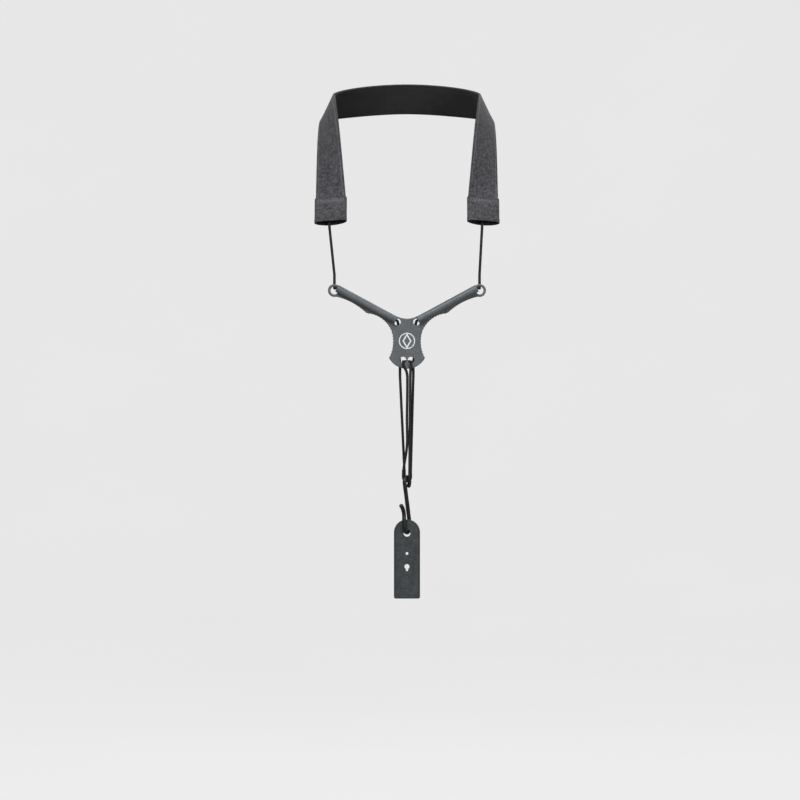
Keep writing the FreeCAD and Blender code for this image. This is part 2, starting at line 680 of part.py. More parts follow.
def tube_direction():
    slope = math.radians(size("tube_slope"))
    return Vector(math.cos(slope), 0, math.sin(slope))


def ring_cord_top():
    height = size("pivot_z") + size("ring_cord_length")
    return Vector(size("ring_x"), size("cord_behind"), height)


def build_side_cord(label, side):
    """Hanging length from the sleeve's mouth down to the ring of the yoke."""
    top = tail_end() - Vector(0, 0, size("cord_break"))
    bottom = ring_cord_top() + Vector(0, 0, size("pivot_gap"))
    return build_cord(label, mirrored([top, bottom], side))


def build_ring_cord(label, side):
    """Short length just above the ring, where the yoke tilts on the cord."""
    bottom = Vector(size("ring_x"), size("cord_behind"), size("pivot_z") + size("pivot_gap"))
    return build_cord(label, mirrored([ring_cord_top(), bottom], side))


def wrap_points(start_angle, end_angle):
    """Offsets (forward, up) of a cord's path round an edge, in four even steps."""
    steps = []
    for number in range(4):
        turn = math.radians(start_angle + (end_angle - start_angle) * number / 3)
        steps.append((size("cord_wrap") * math.cos(turn), size("cord_wrap") * math.sin(turn)))
    return steps


def ring_point(angle, radius, y):
    """A point by its angle and distance from the right ring's centre."""
    turn = math.radians(angle)
    across = size("ring_x") + radius * math.cos(turn)
    return Vector(across, y, size("yoke_bottom_z") + size("ring_z") + radius * math.sin(turn))


def build_yoke_cord(label, side, foot_x):
    """Length inside the yoke: through the ring, along the tube, then down behind the plate."""
    base = size("yoke_bottom_z")
    behind = size("cord_behind")
    face = size("plate_thickness") / 2
    wrap = size("cord_wrap")
    along = tube_direction()
    start = Vector(size("tube_start_x"), -size("tube_forward"), base + size("tube_start_z"))
    mouth = start + along * size("tube_length")
    rim = size("ring_inner")
    top = size("pivot_z") - size("pivot_gap") - base - size("ring_z")
    through_ring = [
        ring_point(90, top, behind),
        ring_point(90, (top + rim) / 2, behind),
    ]
    through_ring += [ring_point(90, rim - drop, face + back) for back, drop in wrap_points(0, 90)]
    through_ring += [
        ring_point(98, rim - wrap, 0.2),
        ring_point(110, rim - wrap, -face),
        ring_point(124, rim - wrap * 0.8, -face - wrap * 0.62),
    ]
    reach = size("tube_length")
    in_tube = [mouth - along * (reach * share) for share in (0.0, 0.05, 0.3, 0.7, 0.95)]
    hole_x = size("centre_hole_x")
    hole_z = base + size("centre_hole_z")
    hole_low = hole_z - size("centre_hole_radius")
    through_plate = [
        Vector(start.x - 0.4, -size("tube_forward") + 0.1, start.z - 0.2),
        Vector(hole_x - 0.1, -face, hole_z + 0.6),
        Vector(hole_x - 0.5, 0, hole_z - 0.9),
    ]
    through_plate += [
        Vector(hole_x - 0.8, face + back, hole_low + rise) for back, rise in wrap_points(90, 0)]
    foot = abs(foot_x)
    low = size("drop_pivot_z") + size("cord_radius")
    down = [
        Vector(hole_x - 1.0, behind, hole_low - 4),
        Vector(hole_x - 1.3, behind, hole_low - 12),
        Vector((hole_x + foot) / 2, behind, hole_low - 24),
        Vector(foot + 0.1, behind, base + 6),
        Vector(foot, behind, low),
    ]
    return build_cord(label, mirrored(through_ring + in_tube + through_plate + down, side))


def bridge_half(x_low, x_hole, low):
    """From the front strand's top, over the hole's lower edge and through to the back."""
    face = size("plate_thickness") / 2
    wrap = size("cord_wrap")
    hole_low = size("yoke_bottom_z") + size("foot_hole_z") - size("foot_hole_radius")
    side = math.copysign(1, x_hole)
    over_edge = [Vector(x_hole, -face - front, hole_low + rise) for front, rise in wrap_points(0, 90)]
    return [
        Vector(x_low, -face - wrap, low),
        Vector((x_low + x_hole) / 2, -face - wrap - 0.12, hole_low - 3),
    ] + over_edge + [
        Vector(x_hole, 0.2, hole_low + wrap + 0.1),
        Vector(x_hole - side * 0.3, face + 0.2, hole_low + wrap + 0.2),
        Vector(side * 1.9, size("cord_behind") - 0.1, hole_low + wrap + 0.3),
    ]


def build_bridge_cord():
    """Length over the front of the plate's foot, into both foot holes and behind their web."""
    low = size("drop_pivot_z") + size("cord_radius")
    left = bridge_half(size("drop_front_left_x"), -size("foot_hole_x") + 0.1, low)
    right = bridge_half(size("drop_front_right_x"), size("foot_hole_x"), low)
    return build_cord("bridge_cord", left + right[::-1])


def hook_directions():
    """Unit vectors along the hook's plane (to the right and back) and across it."""
    turn = math.radians(size("hook_turn"))
    return Vector(math.cos(turn), math.sin(turn), 0), Vector(math.sin(turn), -math.cos(turn), 0)


def loop_top(side_across, side_along):
    """Where one end of a loop meets its hanging cord, beside the eye."""
    along, across = hook_directions()
    clear = size("coating_radius") + size("cord_radius") + 0.1
    spot = across * (side_across * clear) + along * (side_along * size("loop_spread"))
    return spot + Vector(0, 0, size("drop_end_z"))


def build_eye_loop(label, side_along):
    """Loop of cord that passes through the hook's eye."""
    along, across = hook_directions()
    left, right = loop_top(-1, side_along), loop_top(1, side_along)
    clear = (right - left).Length / 2
    slack = size("eye_radius") - size("coating_radius") - size("cord_radius") - 0.1
    rise = math.sqrt(slack ** 2 - size("loop_spread") ** 2)
    low = Vector(0, 0, size("eye_centre_z") + rise) + along * (side_along * size("loop_spread"))
    points = [left, low - across * clear + Vector(0, 0, clear * 1.05)]
    for angle in (225, 270, 315):
        turn = math.radians(angle)
        points.append(low + across * (clear * math.cos(turn)) + Vector(0, 0, clear * (1 + math.sin(turn))))
    points += [low + across * clear + Vector(0, 0, clear * 1.05), right]
    return build_cord(label, points)


def build_drop_cord(label, top_x, front, side_across, side_along):
    """Hanging cord between the yoke's foot and the hook's eye."""
    face = size("plate_thickness") / 2 + size("cord_radius") + 0.12
    y = -face if front else size("cord_behind")
    top = Vector(top_x, y, size("drop_pivot_z"))
    bottom = loop_top(side_across, side_along) + Vector(0, 0, size("cord_break"))
    return build_cord(label, [top, bottom])


# ---------------------------------------------------------------- neck band

def end_frame(side):
    """Placement of a front end: Z runs up the band, Y towards the wearer, X across."""
    slope = math.radians(size("end_slope"))
    lean = math.radians(size("end_lean"))
    up = Vector(0, math.sin(slope), math.cos(slope))
    flat = Vector(1, 0, 0)
    down_back = up.cross(flat)
    across = (flat * math.cos(lean) + down_back * math.sin(lean))
    across.x *= side
    inward = up.cross(across)
    if side < 0:
        across = across * -1
        inward = up.cross(across)
    rotation = Rotation(across, inward, up, "ZXY")
    place = Vector(side * size("end_x"), size("end_y"), size("end_z"))
    return Placement(place, rotation)


def tail_end():
    """End of the cord's tail, where the right side cord starts to hang."""
    drop = size("sleeve_length") - size("sleeve_overlap") + size("tail_length")
    return end_frame(1).multVec(Vector(-size("knot_shift"), 0, -drop))


def band_curves():
    """Centre line of the band's right half: a rise to the shoulder and a sweep round the nape."""
    slope = math.radians(size("end_slope"))
    up = Vector(0, math.sin(slope), math.cos(slope))
    end = Vector(size("end_x"), size("end_y"), size("end_z"))
    front = end + up * size("sleeve_overlap")
    crest = Vector(size("shoulder_x"), size("shoulder_y"), size("shoulder_z"))
    nape = Vector(0, size("nape_y"), size("nape_z"))
    rise = crest.z - front.z
    back = Vector(0.0, 1.0, 0.12)
    front_curve = Part.BezierCurve()
    front_curve.setPoles([front, front + up * (rise * size("front_pull")),
                          crest - back * (rise * size("shoulder_pull")), crest])
    reach = (nape.y - crest.y) * size("back_pull")
    back_curve = Part.BezierCurve()
    beside_nape = nape + Vector(crest.x * size("nape_pull"), 0, 0)
    back_curve.setPoles([crest, crest + back * reach, beside_nape, nape])
    return front_curve, back_curve


def band_stations(count):
    """Centre, heading and lean of evenly spread sections along the right half."""
    front_curve, back_curve = band_curves()
    leans = [size("end_lean"), size("shoulder_lean"), size("nape_lean")]
    start, heading = front_curve.value(0), front_curve.tangent(0)[0]
    stations = []
    for share in (1.0, 0.66, 0.33):
        stations.append((start - heading * (size("sleeve_overlap") * share), heading, leans[0]))
    for number in range(count + 1):
        place = number / count
        curve = front_curve if place <= 0.5 else back_curve
        local = place * 2 if place <= 0.5 else place * 2 - 1
        spot = curve.value(local)
        heading = curve.tangent(local)[0]
        ease = local * local * (3 - 2 * local) if place > 0.5 else local ** size("lean_onset")
        low, high = (leans[0], leans[1]) if place <= 0.5 else (leans[1], leans[2])
        stations.append((spot, heading, low + (high - low) * ease))
    return stations


def section_axes(heading, lean):
    """Unit vectors of a band section: outwards across its width, and towards the wearer."""
    outward = heading.cross(Vector(0, 0, 1)).normalize()
    downward = heading.cross(outward)
    turn = math.radians(lean)
    across = outward * math.cos(turn) + downward * math.sin(turn)
    return across, heading.cross(across)


def build_band_layer(label, width, thickness, offset):
    """One layer of the band: a smooth loft through flat sections from end to end."""
    half = band_stations(12)
    rows = [(spot, heading, lean, 1) for spot, heading, lean in half]
    rows += [(spot, heading, lean, -1) for spot, heading, lean in half[-2::-1]]
    sections = []
    for number, (spot, heading, lean, side) in enumerate(rows):
        across, inward = section_axes(heading, lean)
        corner = spot - across * (size(width) / 2) + inward * (offset - size(thickness) / 2)
        if side < 0:
            for vector in (across, inward, corner):
                vector.x = -vector.x
        section = doc.addObject("Part::Plane", f"{label}_section_{number}")
        section.setExpression("Length", in_sheet(width))
        section.setExpression("Width", in_sheet(thickness))
        section.Placement = Placement(corner, Rotation(across, inward, across.cross(inward), "XYZ"))
        sections.append(section)
    layer = doc.addObject("Part::Loft", label)
    layer.Label = label
    layer.Sections = sections
    layer.Solid = True
    layer.Ruled = False
    return layer


def build_sleeve(label, side):
    """Flat cloth sleeve sewn over a front end of the band, open at its lower mouth."""
    body = new_body(label)
    wall = size("sleeve_wall")
    length = size("sleeve_length")
    width = size("sleeve_width")
    heights = [0.0, length * 0.3, length * 0.62, length]
    thin, thick = size("sleeve_top_thickness"), size("sleeve_mouth_thickness")
    depths = [thick, thick * 0.93, thin * 1.08, thin]
    outer, inner = [], []
    for number, (height, depth) in enumerate(zip(heights, depths)):
        outer.append(sleeve_section(body, f"outside_{number}", width, depth, height))
        reach = {0: -1.0, len(heights) - 1: 1.0}.get(number, 0.0)
        inner.append(sleeve_section(
            body, f"inside_{number}", width - 2 * wall * 0.66, depth - 2 * wall, height + reach))
    cloth = body.newObject("PartDesign::AdditiveLoft", "cloth")
    cloth.Profile = outer[0]
    cloth.Sections = outer[1:]
    doc.recompute()
    before = body.Shape.Volume
    hollow = body.newObject("PartDesign::SubtractiveLoft", "hollow")
    hollow.Profile = inner[0]
    hollow.Sections = inner[1:]
    must_cut(body, hollow, before)
    frame = end_frame(side)
    drop = size("sleeve_length") - size("sleeve_overlap")
    body.Placement = frame.multiply(Placement(Vector(0, 0, -drop), Rotation()))
    return body


def sleeve_section(body, name, width, depth, height):
    """Rectangle across the sleeve at one height."""
    sketch = new_sketch(body, name, "XY_Plane", Placement(Vector(0, 0, height), Rotation()))
    add_rectangle(sketch, -width / 2, width / 2, -depth / 2, depth / 2, f"{width}", f"{depth}")
    return sketch


def build_knot(label, side):
    """Flattened knot at the cord's end, held inside the sleeve, with its tail to the mouth."""
    frame = end_frame(side)
    drop = size("sleeve_length") - size("sleeve_overlap")
    knot = doc.addObject("Part::Ellipsoid", label + "_lump")
    knot.setExpression("Radius1", "Dimensions.knot_width / 2")
    knot.setExpression("Radius2", "Dimensions.knot_width / 2")
    knot.setExpression("Radius3", "Dimensions.knot_thickness / 2")
    across = -side * size("knot_shift")
    knot.Placement = frame.multiply(
        Placement(Vector(across, 0, size("knot_height") - drop), Rotation()))
    tail = doc.addObject("Part::Cylinder", label + "_tail")
    tail.setExpression("Radius", "Dimensions.cord_radius")
    tail.Height = size("knot_height") + size("tail_length")
    tail.Placement = frame.multiply(
        Placement(Vector(across, 0, -drop - size("tail_length")), Rotation()))
    joined = doc.addObject("Part::Fuse", label)
    joined.Label = label
    joined.Base = knot
    joined.Tool = tail
    return joined


def sleeve_depth(height):
    """Outer thickness of the sleeve at a height, close to its surface."""
    thin, thick = size("sleeve_top_thickness"), size("sleeve_mouth_thickness")
    places = [0.0, 0.3, 0.62, 1.0]
    depths = [thick, thick * 0.93, thin * 1.08, thin]
    share = height / size("sleeve_length")
    for low in range(3):
        if share <= places[low + 1]:
            local = (share - places[low]) / (places[low + 1] - places[low])
            return depths[low] + (depths[low + 1] - depths[low]) * local
    return thin


def build_stitches(label, side):
    """Three rows of separate thread stitches on the sleeve's front and back."""
    frame = end_frame(side)
    drop = size("sleeve_length") - size("sleeve_overlap")
    pitch = size("stitch_pitch")
    count = int((size("sleeve_width") - 3) / pitch)
    threads = []
    for row in ("stitch_row_one", "stitch_row_two", "stitch_row_three"):
        height = size(row)
        out = sleeve_depth(height) / 2 + size("stitch_radius") + size("cord_gap")
        for number in range(count):
            start = (number - (count - 1) / 2) * pitch - size("stitch_length") / 2
            for face in (-1, 1):
                spot = Vector(start, face * out, height - drop)
                threads.append(Part.makeCylinder(
                    size("stitch_radius"), size("stitch_length"), spot, Vector(1, 0, 0)))
    group = doc.addObject("Part::Feature", label)
    group.Label = label
    group.Shape = Part.makeCompound(threads)
    group.Placement = frame
    return group


# ---------------------------------------------------------------- the whole strap

def build_all():
    middle = size("webbing_thickness") + size("lining_thickness") + size("layer_gap")
    webbing_offset = -middle / 2 + size("webbing_thickness") / 2
    lining_offset = middle / 2 - size("lining_thickness") / 2
    parts = [
        build_band_layer("band_webbing", "band_width", "webbing_thickness", webbing_offset),
        build_band_layer("band_lining", "lining_width", "lining_thickness", lining_offset),
        build_yoke(),
        build_emblem(),
        build_bridge_cord(),
        build_drop_cord("drop_cord_rear_left", size("drop_left_x"), False, -1, 1),
        build_drop_cord("drop_cord_front_left", size("drop_front_left_x"), True, -1, -1),
        build_drop_cord("drop_cord_front_right", size("drop_front_right_x"), True, 1, -1),
        build_drop_cord("drop_cord_rear_right", size("drop_right_x"), False, 1, 1),
        build_eye_loop("eye_loop_front", -1),
        build_eye_loop("eye_loop_rear", 1),
        build_hook_coating(),
        build_hook_wire(),
        build_tab(),
    ]
    feet = {"left": size("drop_left_x"), "right": size("drop_right_x")}
    for name, side in (("left", -1), ("right", 1)):
        parts.append(build_sleeve("end_sleeve_" + name, side))
        parts.append(build_stitches("sleeve_stitches_" + name, side))
        parts.append(build_knot("cord_knot_" + name, side))
        parts.append(build_side_cord("side_cord_" + name, side))
        parts.append(build_ring_cord("ring_cord_" + name, side))
        parts.append(build_yoke_cord("yoke_cord_" + name, side, feet[name]))
    return parts


def check_and_write(parts):
    """Stops on any failed object or bad shape, then writes one STEP file for each sub-part."""
    doc.recompute()
    for item in doc.Objects:
        if "Invalid" in item.State or "Error" in item.State:
            raise RuntimeError(f"{item.Label} failed: {item.State}")
    for part in parts:
        if part.Shape.isNull() or not part.Shape.isValid():
            raise RuntimeError(f"{part.Label} has a bad shape")
        if part.Shape.Volume <= 0:
            raise RuntimeError(f"{part.Label} has no volume")
    os.makedirs("parts", exist_ok=True)
    for part in parts:
        part.Shape.exportStep(os.path.join("parts", part.Label + ".step"))


check_and_write(build_all())
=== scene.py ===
import json
import math

import bpy
import numpy as np
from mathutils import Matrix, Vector


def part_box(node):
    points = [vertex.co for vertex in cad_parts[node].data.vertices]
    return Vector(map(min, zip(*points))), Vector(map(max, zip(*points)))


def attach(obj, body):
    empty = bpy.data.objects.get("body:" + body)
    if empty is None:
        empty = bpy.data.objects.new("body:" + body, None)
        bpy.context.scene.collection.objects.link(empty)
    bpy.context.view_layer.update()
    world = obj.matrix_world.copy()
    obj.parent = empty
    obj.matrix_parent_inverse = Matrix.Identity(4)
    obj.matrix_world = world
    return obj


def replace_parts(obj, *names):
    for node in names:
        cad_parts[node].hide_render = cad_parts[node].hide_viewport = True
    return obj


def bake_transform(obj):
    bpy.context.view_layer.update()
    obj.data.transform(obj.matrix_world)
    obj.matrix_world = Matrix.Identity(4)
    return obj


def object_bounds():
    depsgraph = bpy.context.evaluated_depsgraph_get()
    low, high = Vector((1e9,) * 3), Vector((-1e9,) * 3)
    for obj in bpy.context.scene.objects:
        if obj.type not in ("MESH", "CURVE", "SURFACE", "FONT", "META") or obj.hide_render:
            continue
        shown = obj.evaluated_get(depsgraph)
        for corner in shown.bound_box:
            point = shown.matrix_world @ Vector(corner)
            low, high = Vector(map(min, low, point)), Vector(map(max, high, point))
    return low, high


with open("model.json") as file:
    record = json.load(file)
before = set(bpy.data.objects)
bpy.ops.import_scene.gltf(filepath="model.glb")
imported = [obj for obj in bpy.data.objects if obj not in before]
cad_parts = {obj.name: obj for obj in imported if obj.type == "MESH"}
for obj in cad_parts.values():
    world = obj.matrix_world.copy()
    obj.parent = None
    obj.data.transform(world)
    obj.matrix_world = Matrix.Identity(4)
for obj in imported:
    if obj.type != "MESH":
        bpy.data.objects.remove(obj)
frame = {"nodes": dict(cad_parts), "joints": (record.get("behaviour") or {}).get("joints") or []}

# Neck strap for a woodwind instrument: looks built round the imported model.
# Metres and degrees. +Z is up, the front faces -Y, and the origin is the seat of the hook.

CAD_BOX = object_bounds()
JOINTS = {joint["name"]: joint for joint in frame["joints"]}

# ---- cord
CORD_RADIUS = 0.0013
CORD_STEP = 0.0002
CORD_SIDES = 32
CORE_GAP = 0.00004          # a length that runs on inside its neighbour is this much thinner
BRAID_STRANDS = 8
BRAID_LEAD = 0.0075         # length of one full turn of a strand
BRAID_HEIGHT = 0.00013
BRAID_FILL = 0.6            # share of the strands' height that lies inside the nominal radius
CORD_BEHIND = 0.0030        # the cord's centre behind the plate's middle
CORD_WRAP = 0.00160         # radius of the cord's path round an edge of the plate
BEND_REACH = 0.0025         # half the length over which the cord bends at a pivot
LAP = 0.0015                # length over which neighbouring cord lengths run inside each other

# ---- yoke, in its own upright plane (x, z)
PLATE_HALF = 0.0014
RING = (0.0697, 0.2304)
RING_HOLE = 0.00385
CENTRE_HOLE = (0.0092, 0.2002)
CENTRE_HOLE_RADIUS = 0.00345
FOOT_HOLE = (0.00385, 0.1637)
FOOT_HOLE_RADIUS = 0.0033
TUBE_START = (0.0106, 0.2019)
TUBE_SLOPE = 28.4
TUBE_LENGTH = 0.0642
TUBE_FORWARD = 0.0026
YOKE_VOXEL = 0.00034
YOKE_SWELL = 0.00016          # makes up for what the softening takes off thin walls

# ---- hook, in its own upright plane
HOOK_TURN = 64.0
COATING_RADIUS = 0.00195
HOOK_BEND = 0.0063
EYE_RADIUS = 0.0052
EYE_Z = JOINTS["hook_swing"]["pos_m"][2]
EYE_WRAP = 62.0
LEG_TOP = 0.013
FLARE_RADIUS = 0.0125
FLARE_ANGLE = 52.0
TIP_LENGTH = 0.0036
LOOP_SPREAD = 0.00136
LOOP_CLEAR = COATING_RADIUS + CORD_RADIUS + 0.0001

# ---- neck band
BAND_WIDTH = 0.030
WEBBING_THICKNESS = 0.0015
LINING_WIDTH = 0.0284
LINING_THICKNESS = 0.0009
LAYER_GAP = 0.0001
END = (0.0734, 0.0108, 0.3065)
END_SLOPE = 30.0
CREST = (0.0773, 0.0807, 0.4113)
NAPE = (0.0, 0.140, 0.424)
LEANS = (8.0, 64.3, 84.0)
FRONT_PULL, CREST_PULL, BACK_PULL, NAPE_PULL = 0.14, 0.4, 0.54, 0.49   # how far the curve runs straight
LEAN_ONSET = 0.65
BAND_STEP = 0.00042
CHEVRON_WIDTH = 0.0075
TWILL_PITCH = 0.0022
TWILL_HEIGHT = 0.00020

# ---- end sleeve, heights along the sleeve from its mouth
SLEEVE_WIDTH = 0.0312
SLEEVE_LENGTH = 0.027
SLEEVE_OVERLAP = 0.015
SLEEVE_TOP = 0.0044
SLEEVE_MOUTH = 0.0088
SLEEVE_WALL = 0.0009
HEM_LENGTH = 0.0042
SLEEVE_FULLNESS = 5.75      # how boxy its outline is where it grips the band
MOUTH_FULLNESS = 2.15
STITCH_ROWS = (0.0254, 0.0206)
THREAD_RADIUS = 0.00022
THREAD_SIDES = 8
EDGE_ROW_INSET = 0.0024      # from the band's edge to its row of stitches
EDGE_STITCH_GAP = 0.0006
STITCH_LENGTH = 0.0019
STITCH_PITCH = 0.0027
KNOT_HEIGHT = 0.0072
KNOT_SHIFT = 0.0012
TAIL_LENGTH = 0.004

# ---- leather tab
TAB_HALF = 0.0125
TAB_ARC_Z = -0.0018
TAB_BOTTOM = -0.0653
TAB_VOXEL = 0.0003
CREASE_INSET = 0.0021
CREASE_DEPTH = 0.00028
MARK_DEPTH = 0.00040
MARK_Z = -0.0502
MARK_HALF = (0.0042, 0.0072)
MARK_SLANT = 0.0036         # from the lozenge's middle to its sides, square to them
TAB_CURL = 0.0009           # how far the tab's foot curls forward
TAB_CUP = 0.0006            # how far its long edges bend back

# ---- camera
FRAME_WIDTH = 0.768
VIEW_CENTRE = (-0.0067, 0.0, 0.1253)
VIEW_DISTANCE = 4.0
PAPER_GLOW = 0.16
PAPER_SEEN = 0.79
SENSOR = 36.0


# ---- lines and meshes

def array(*values):
    return np.array(values, float)


def unit(vector):
    return vector / np.linalg.norm(vector)


def lengths_along(line):
    """Each point's distance from the start of a line."""
    return np.concatenate([[0], np.cumsum(np.linalg.norm(np.diff(line, axis=0), axis=1))])


def points_at(wanted, places, values):
    return np.stack([np.interp(wanted, places, values[:, axis]) for axis in range(3)], axis=1)


def natural_spline(points, samples):
    """Points on a natural cubic spline through the given points, by chord length."""
    points = np.array(points, float)
    places = lengths_along(points)
    gaps = np.diff(places)
    count = len(points)
    matrix = np.eye(count)
    right = np.zeros((count, 3))
    for i in range(1, count - 1):
        matrix[i, i - 1:i + 2] = gaps[i - 1], 2 * (gaps[i - 1] + gaps[i]), gaps[i]
        slopes = np.diff(points[i - 1:i + 2], axis=0) / gaps[i - 1:i + 1, None]
        right[i] = 6 * (slopes[1] - slopes[0])
    bends = np.linalg.solve(matrix, right)
    where = np.linspace(0, places[-1], samples)
    cell = np.clip(np.searchsorted(places, where, side="right") - 1, 0, count - 2)
    gap = gaps[cell][:, None]
    before = (where - places[cell])[:, None]
    after = gap - before
    curved = (bends[cell] * after ** 3 + bends[cell + 1] * before ** 3) / (6 * gap)
    low = (points[cell] / gap - bends[cell] * gap / 6) * after
    high = (points[cell + 1] / gap - bends[cell + 1] * gap / 6) * before
    return curved + low + high


def evenly_spaced(line, step):
    """The same line with points one step apart, and each point's distance from the start."""
    places = lengths_along(line)
    count = max(3, int(round(places[-1] / step)) + 1)
    wanted = np.linspace(0, places[-1], count)
    return points_at(wanted, places, line), wanted


def cord_line(points):
    """Even, smooth line of a cord through a few points."""
    if len(points) == 2:
        start, end = np.array(points, float)
        share = np.linspace(0, 1, 50)[:, None]
        dense = start * (1 - share) + end * share
    else:
        dense = natural_spline(points, 60 * len(points))
    return evenly_spaced(dense, CORD_STEP)


def carried_frames(line):
    """Two cross directions that turn as little as possible along the line."""
    tangents = np.gradient(line, axis=0)
    tangents /= np.linalg.norm(tangents, axis=1)[:, None]
    first = array(1, 0, 0) if abs(tangents[0][0]) < 0.8 else array(0, 1, 0)
    side = unit(first - tangents[0] * (first @ tangents[0]))
    sides = []
    for tangent in tangents:
        side = unit(side - tangent * (side @ tangent))
        sides.append(side)
    return np.array(sides), np.cross(tangents, sides)


def outward_rings(line, sides):
    """Directions out from each point of a line, and their angles."""
    first, second = carried_frames(line)
    angles = np.linspace(0, 2 * math.pi, sides, endpoint=False)
    return first[:, None] * np.cos(angles)[:, None] + second[:, None] * np.sin(angles)[:, None], angles


def new_piece(name, mesh):
    piece = bpy.data.objects.new(name, mesh)
    bpy.context.scene.collection.objects.link(piece)
    return piece


def ring_faces(rows, columns):
    """Faces between rings of points, and the two end caps."""
    row, column = np.arange(rows - 1)[:, None], np.arange(columns)[None, :]
    following = (column + 1) % columns
    corners = [row * columns + column, row * columns + following,
               (row + 1) * columns + following, (row + 1) * columns + column]
    caps = [list(range(columns))[::-1], list(range((rows - 1) * columns, rows * columns))]
    return np.stack(corners, axis=-1).reshape(-1, 4).tolist() + caps


def ring_places(along, around):
    """Millimetres along and around, for each corner of each face. The caps get zeros."""
    spread = np.append(around, 2 * around[-1] - around[-2])
    low, high = along[:-1, None], along[1:, None]
    left, right = spread[None, :-1], spread[None, 1:]
    pairs = [(low, left), (low, right), (high, right), (high, left)]
    corners = [np.stack(np.broadcast_arrays(*pair), axis=-1) for pair in pairs]
    return np.concatenate([np.stack(corners, axis=2).reshape(-1, 2) * 1000, np.zeros((2 * len(around), 2))])


def mapped_mesh(name, points, faces, places):
    """A smooth mesh with its UV map."""
    mesh = bpy.data.meshes.new(name)
    mesh.from_pydata(points.reshape(-1, 3).tolist(), [], faces)
    mesh.polygons.foreach_set("use_smooth", [True] * len(faces))
    mesh.uv_layers.new(name="millimetres").data.foreach_set("uv", places.ravel())
    mesh.update()
    return mesh


def grid_mesh(name, points, along, around):
    """A closed mesh from rings of points."""
    return mapped_mesh(name, points, ring_faces(*points.shape[:2]), ring_places(along, around))


def swept_tube(name, line, distances, radii, sides):
    """A round tube along a line. radii holds one number for each point, or a row for each."""
    outward, angles = outward_rings(line, sides)
    radii = np.broadcast_to(np.array(radii, float).reshape(len(line), -1), (len(line), sides))
    points = line[:, None, :] + outward * radii[:, :, None]
    return grid_mesh(name, points, distances, angles * CORD_RADIUS)


def braided(distances, radius):
    """Radii of a braided cord: two crossing families of strands, one over the other in turn."""
    angles = np.linspace(0, 2 * math.pi, CORD_SIDES, endpoint=False)[None, :]
    turn = (distances * 2 * math.pi / BRAID_LEAD)[:, None]
    one = np.cos(BRAID_STRANDS / 2 * (angles + turn))
    other = np.cos(BRAID_STRANDS / 2 * (angles - turn))
    height = np.maximum(one ** 2 * (one * other > 0), other ** 2 * (one * other <= 0))
    return radius + BRAID_HEIGHT * (height - BRAID_FILL)


def cord_piece(node, points, radius=CORD_RADIUS):
    """A length of braided cord with softly rounded ends, in place of a CAD node."""
    line, distances = cord_line(points)
    to_end = np.minimum(distances, distances[-1] - distances)
    rounding = 1 - 0.25 * np.clip(1 - to_end / 0.0006, 0, 1) ** 2
    radii = braided(distances, radius) * rounding[:, None]
    name = node + "_length"
    piece = finish_piece(new_piece(name, swept_tube(name, line, distances, radii, CORD_SIDES)), CORD)
    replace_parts(piece, node)
    return piece


def bending_cord(node, points):
    """A cord along the given points, with its placement baked into its mesh."""
    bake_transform(cord_piece(node, points))


def finish_piece(piece, material):
    piece.data.materials.clear()
    piece.data.materials.append(material)
    return piece


def riding_piece(piece, material, body, node):
    """Finishes a piece that moves with one body, in place of a CAD node."""
    finish_piece(piece, material)
    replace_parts(piece, node)
    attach(piece, body)


def mirrored(points, side):
    return [(point[0] * side, point[1], point[2]) for point in points]


def end_centre(node, upper):
    """Middle of the upper or lower end of a CAD cord."""
    low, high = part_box(node)
    level = high[2] if upper else low[2]
    rim = [v.co for v in frame["nodes"][node].data.vertices if abs(v.co.z - level) < 0.0004]
    return sum(rim, Vector()) / len(rim)


# ---- materials

def new_material(name):
    material = bpy.data.materials.new(name)
    material.use_nodes = True
    tree = material.node_tree
    return material, tree, tree.nodes["Principled BSDF"]


def add_node(tree, kind, inputs, **settings):
    """Adds a node, sets it up, and feeds its inputs with values or with other nodes' outputs."""
    node = tree.nodes.new(kind)
    for key, value in settings.items():
        setattr(node, key, value)
    for socket, value in inputs.items():
        if isinstance(value, bpy.types.NodeSocket):
            tree.links.new(value, node.inputs[socket])
        else:
            node.inputs[socket].default_value = value
    return node


def maths(tree, operation, *values):
    inputs = dict(enumerate(values))
    return add_node(tree, "ShaderNodeMath", inputs, operation=operation).outputs[0]


def times(tree, one, other):
    return maths(tree, "MULTIPLY", one, other)


def noise(tree, vector, scale, detail=3.0, roughness=0.55):
    inputs = {"Vector": vector, "Scale": scale, "Detail": detail, "Roughness": roughness}
    return add_node(tree, "ShaderNodeTexNoise", inputs).outputs["Fac"]


def blended(tree, share, low, high):
    """A colour between low and high."""
    inputs = {"Fac": share, "Color1": low, "Color2": high}
    return add_node(tree, "ShaderNodeMixRGB", inputs).outputs["Color"]


def ranged(tree, value, low, high, new_low, new_high):
    inputs = {"Value": value, "From Min": low, "From Max": high, "To Min": new_low, "To Max": new_high}
    return add_node(tree, "ShaderNodeMapRange", inputs).outputs["Result"]


def wave(tree, value, pitch):
    """From 0 to 1 and back once every pitch."""
    turned = times(tree, value, 2 * math.pi / pitch)
    return maths(tree, "MULTIPLY_ADD", maths(tree, "SINE", turned), 0.5, 0.5)


def grey(level, blue=1.05):
    return (level, level, level * blue, 1.0)


def bumped(tree, shader, height, distance, strength=1.0):
    inputs = {"Height": height, "Distance": distance, "Strength": strength}
    bump = add_node(tree, "ShaderNodeBump", inputs)
    tree.links.new(bump.outputs["Normal"], shader.inputs["Normal"])


def feed(tree, shader, **values):
    """Sets or links the shader's inputs, named with underscores."""
    for key, value in values.items():
        socket = shader.inputs[key.replace("_", " ")]
        if isinstance(value, bpy.types.NodeSocket):
            tree.links.new(value, socket)
        else:
            socket.default_value = value


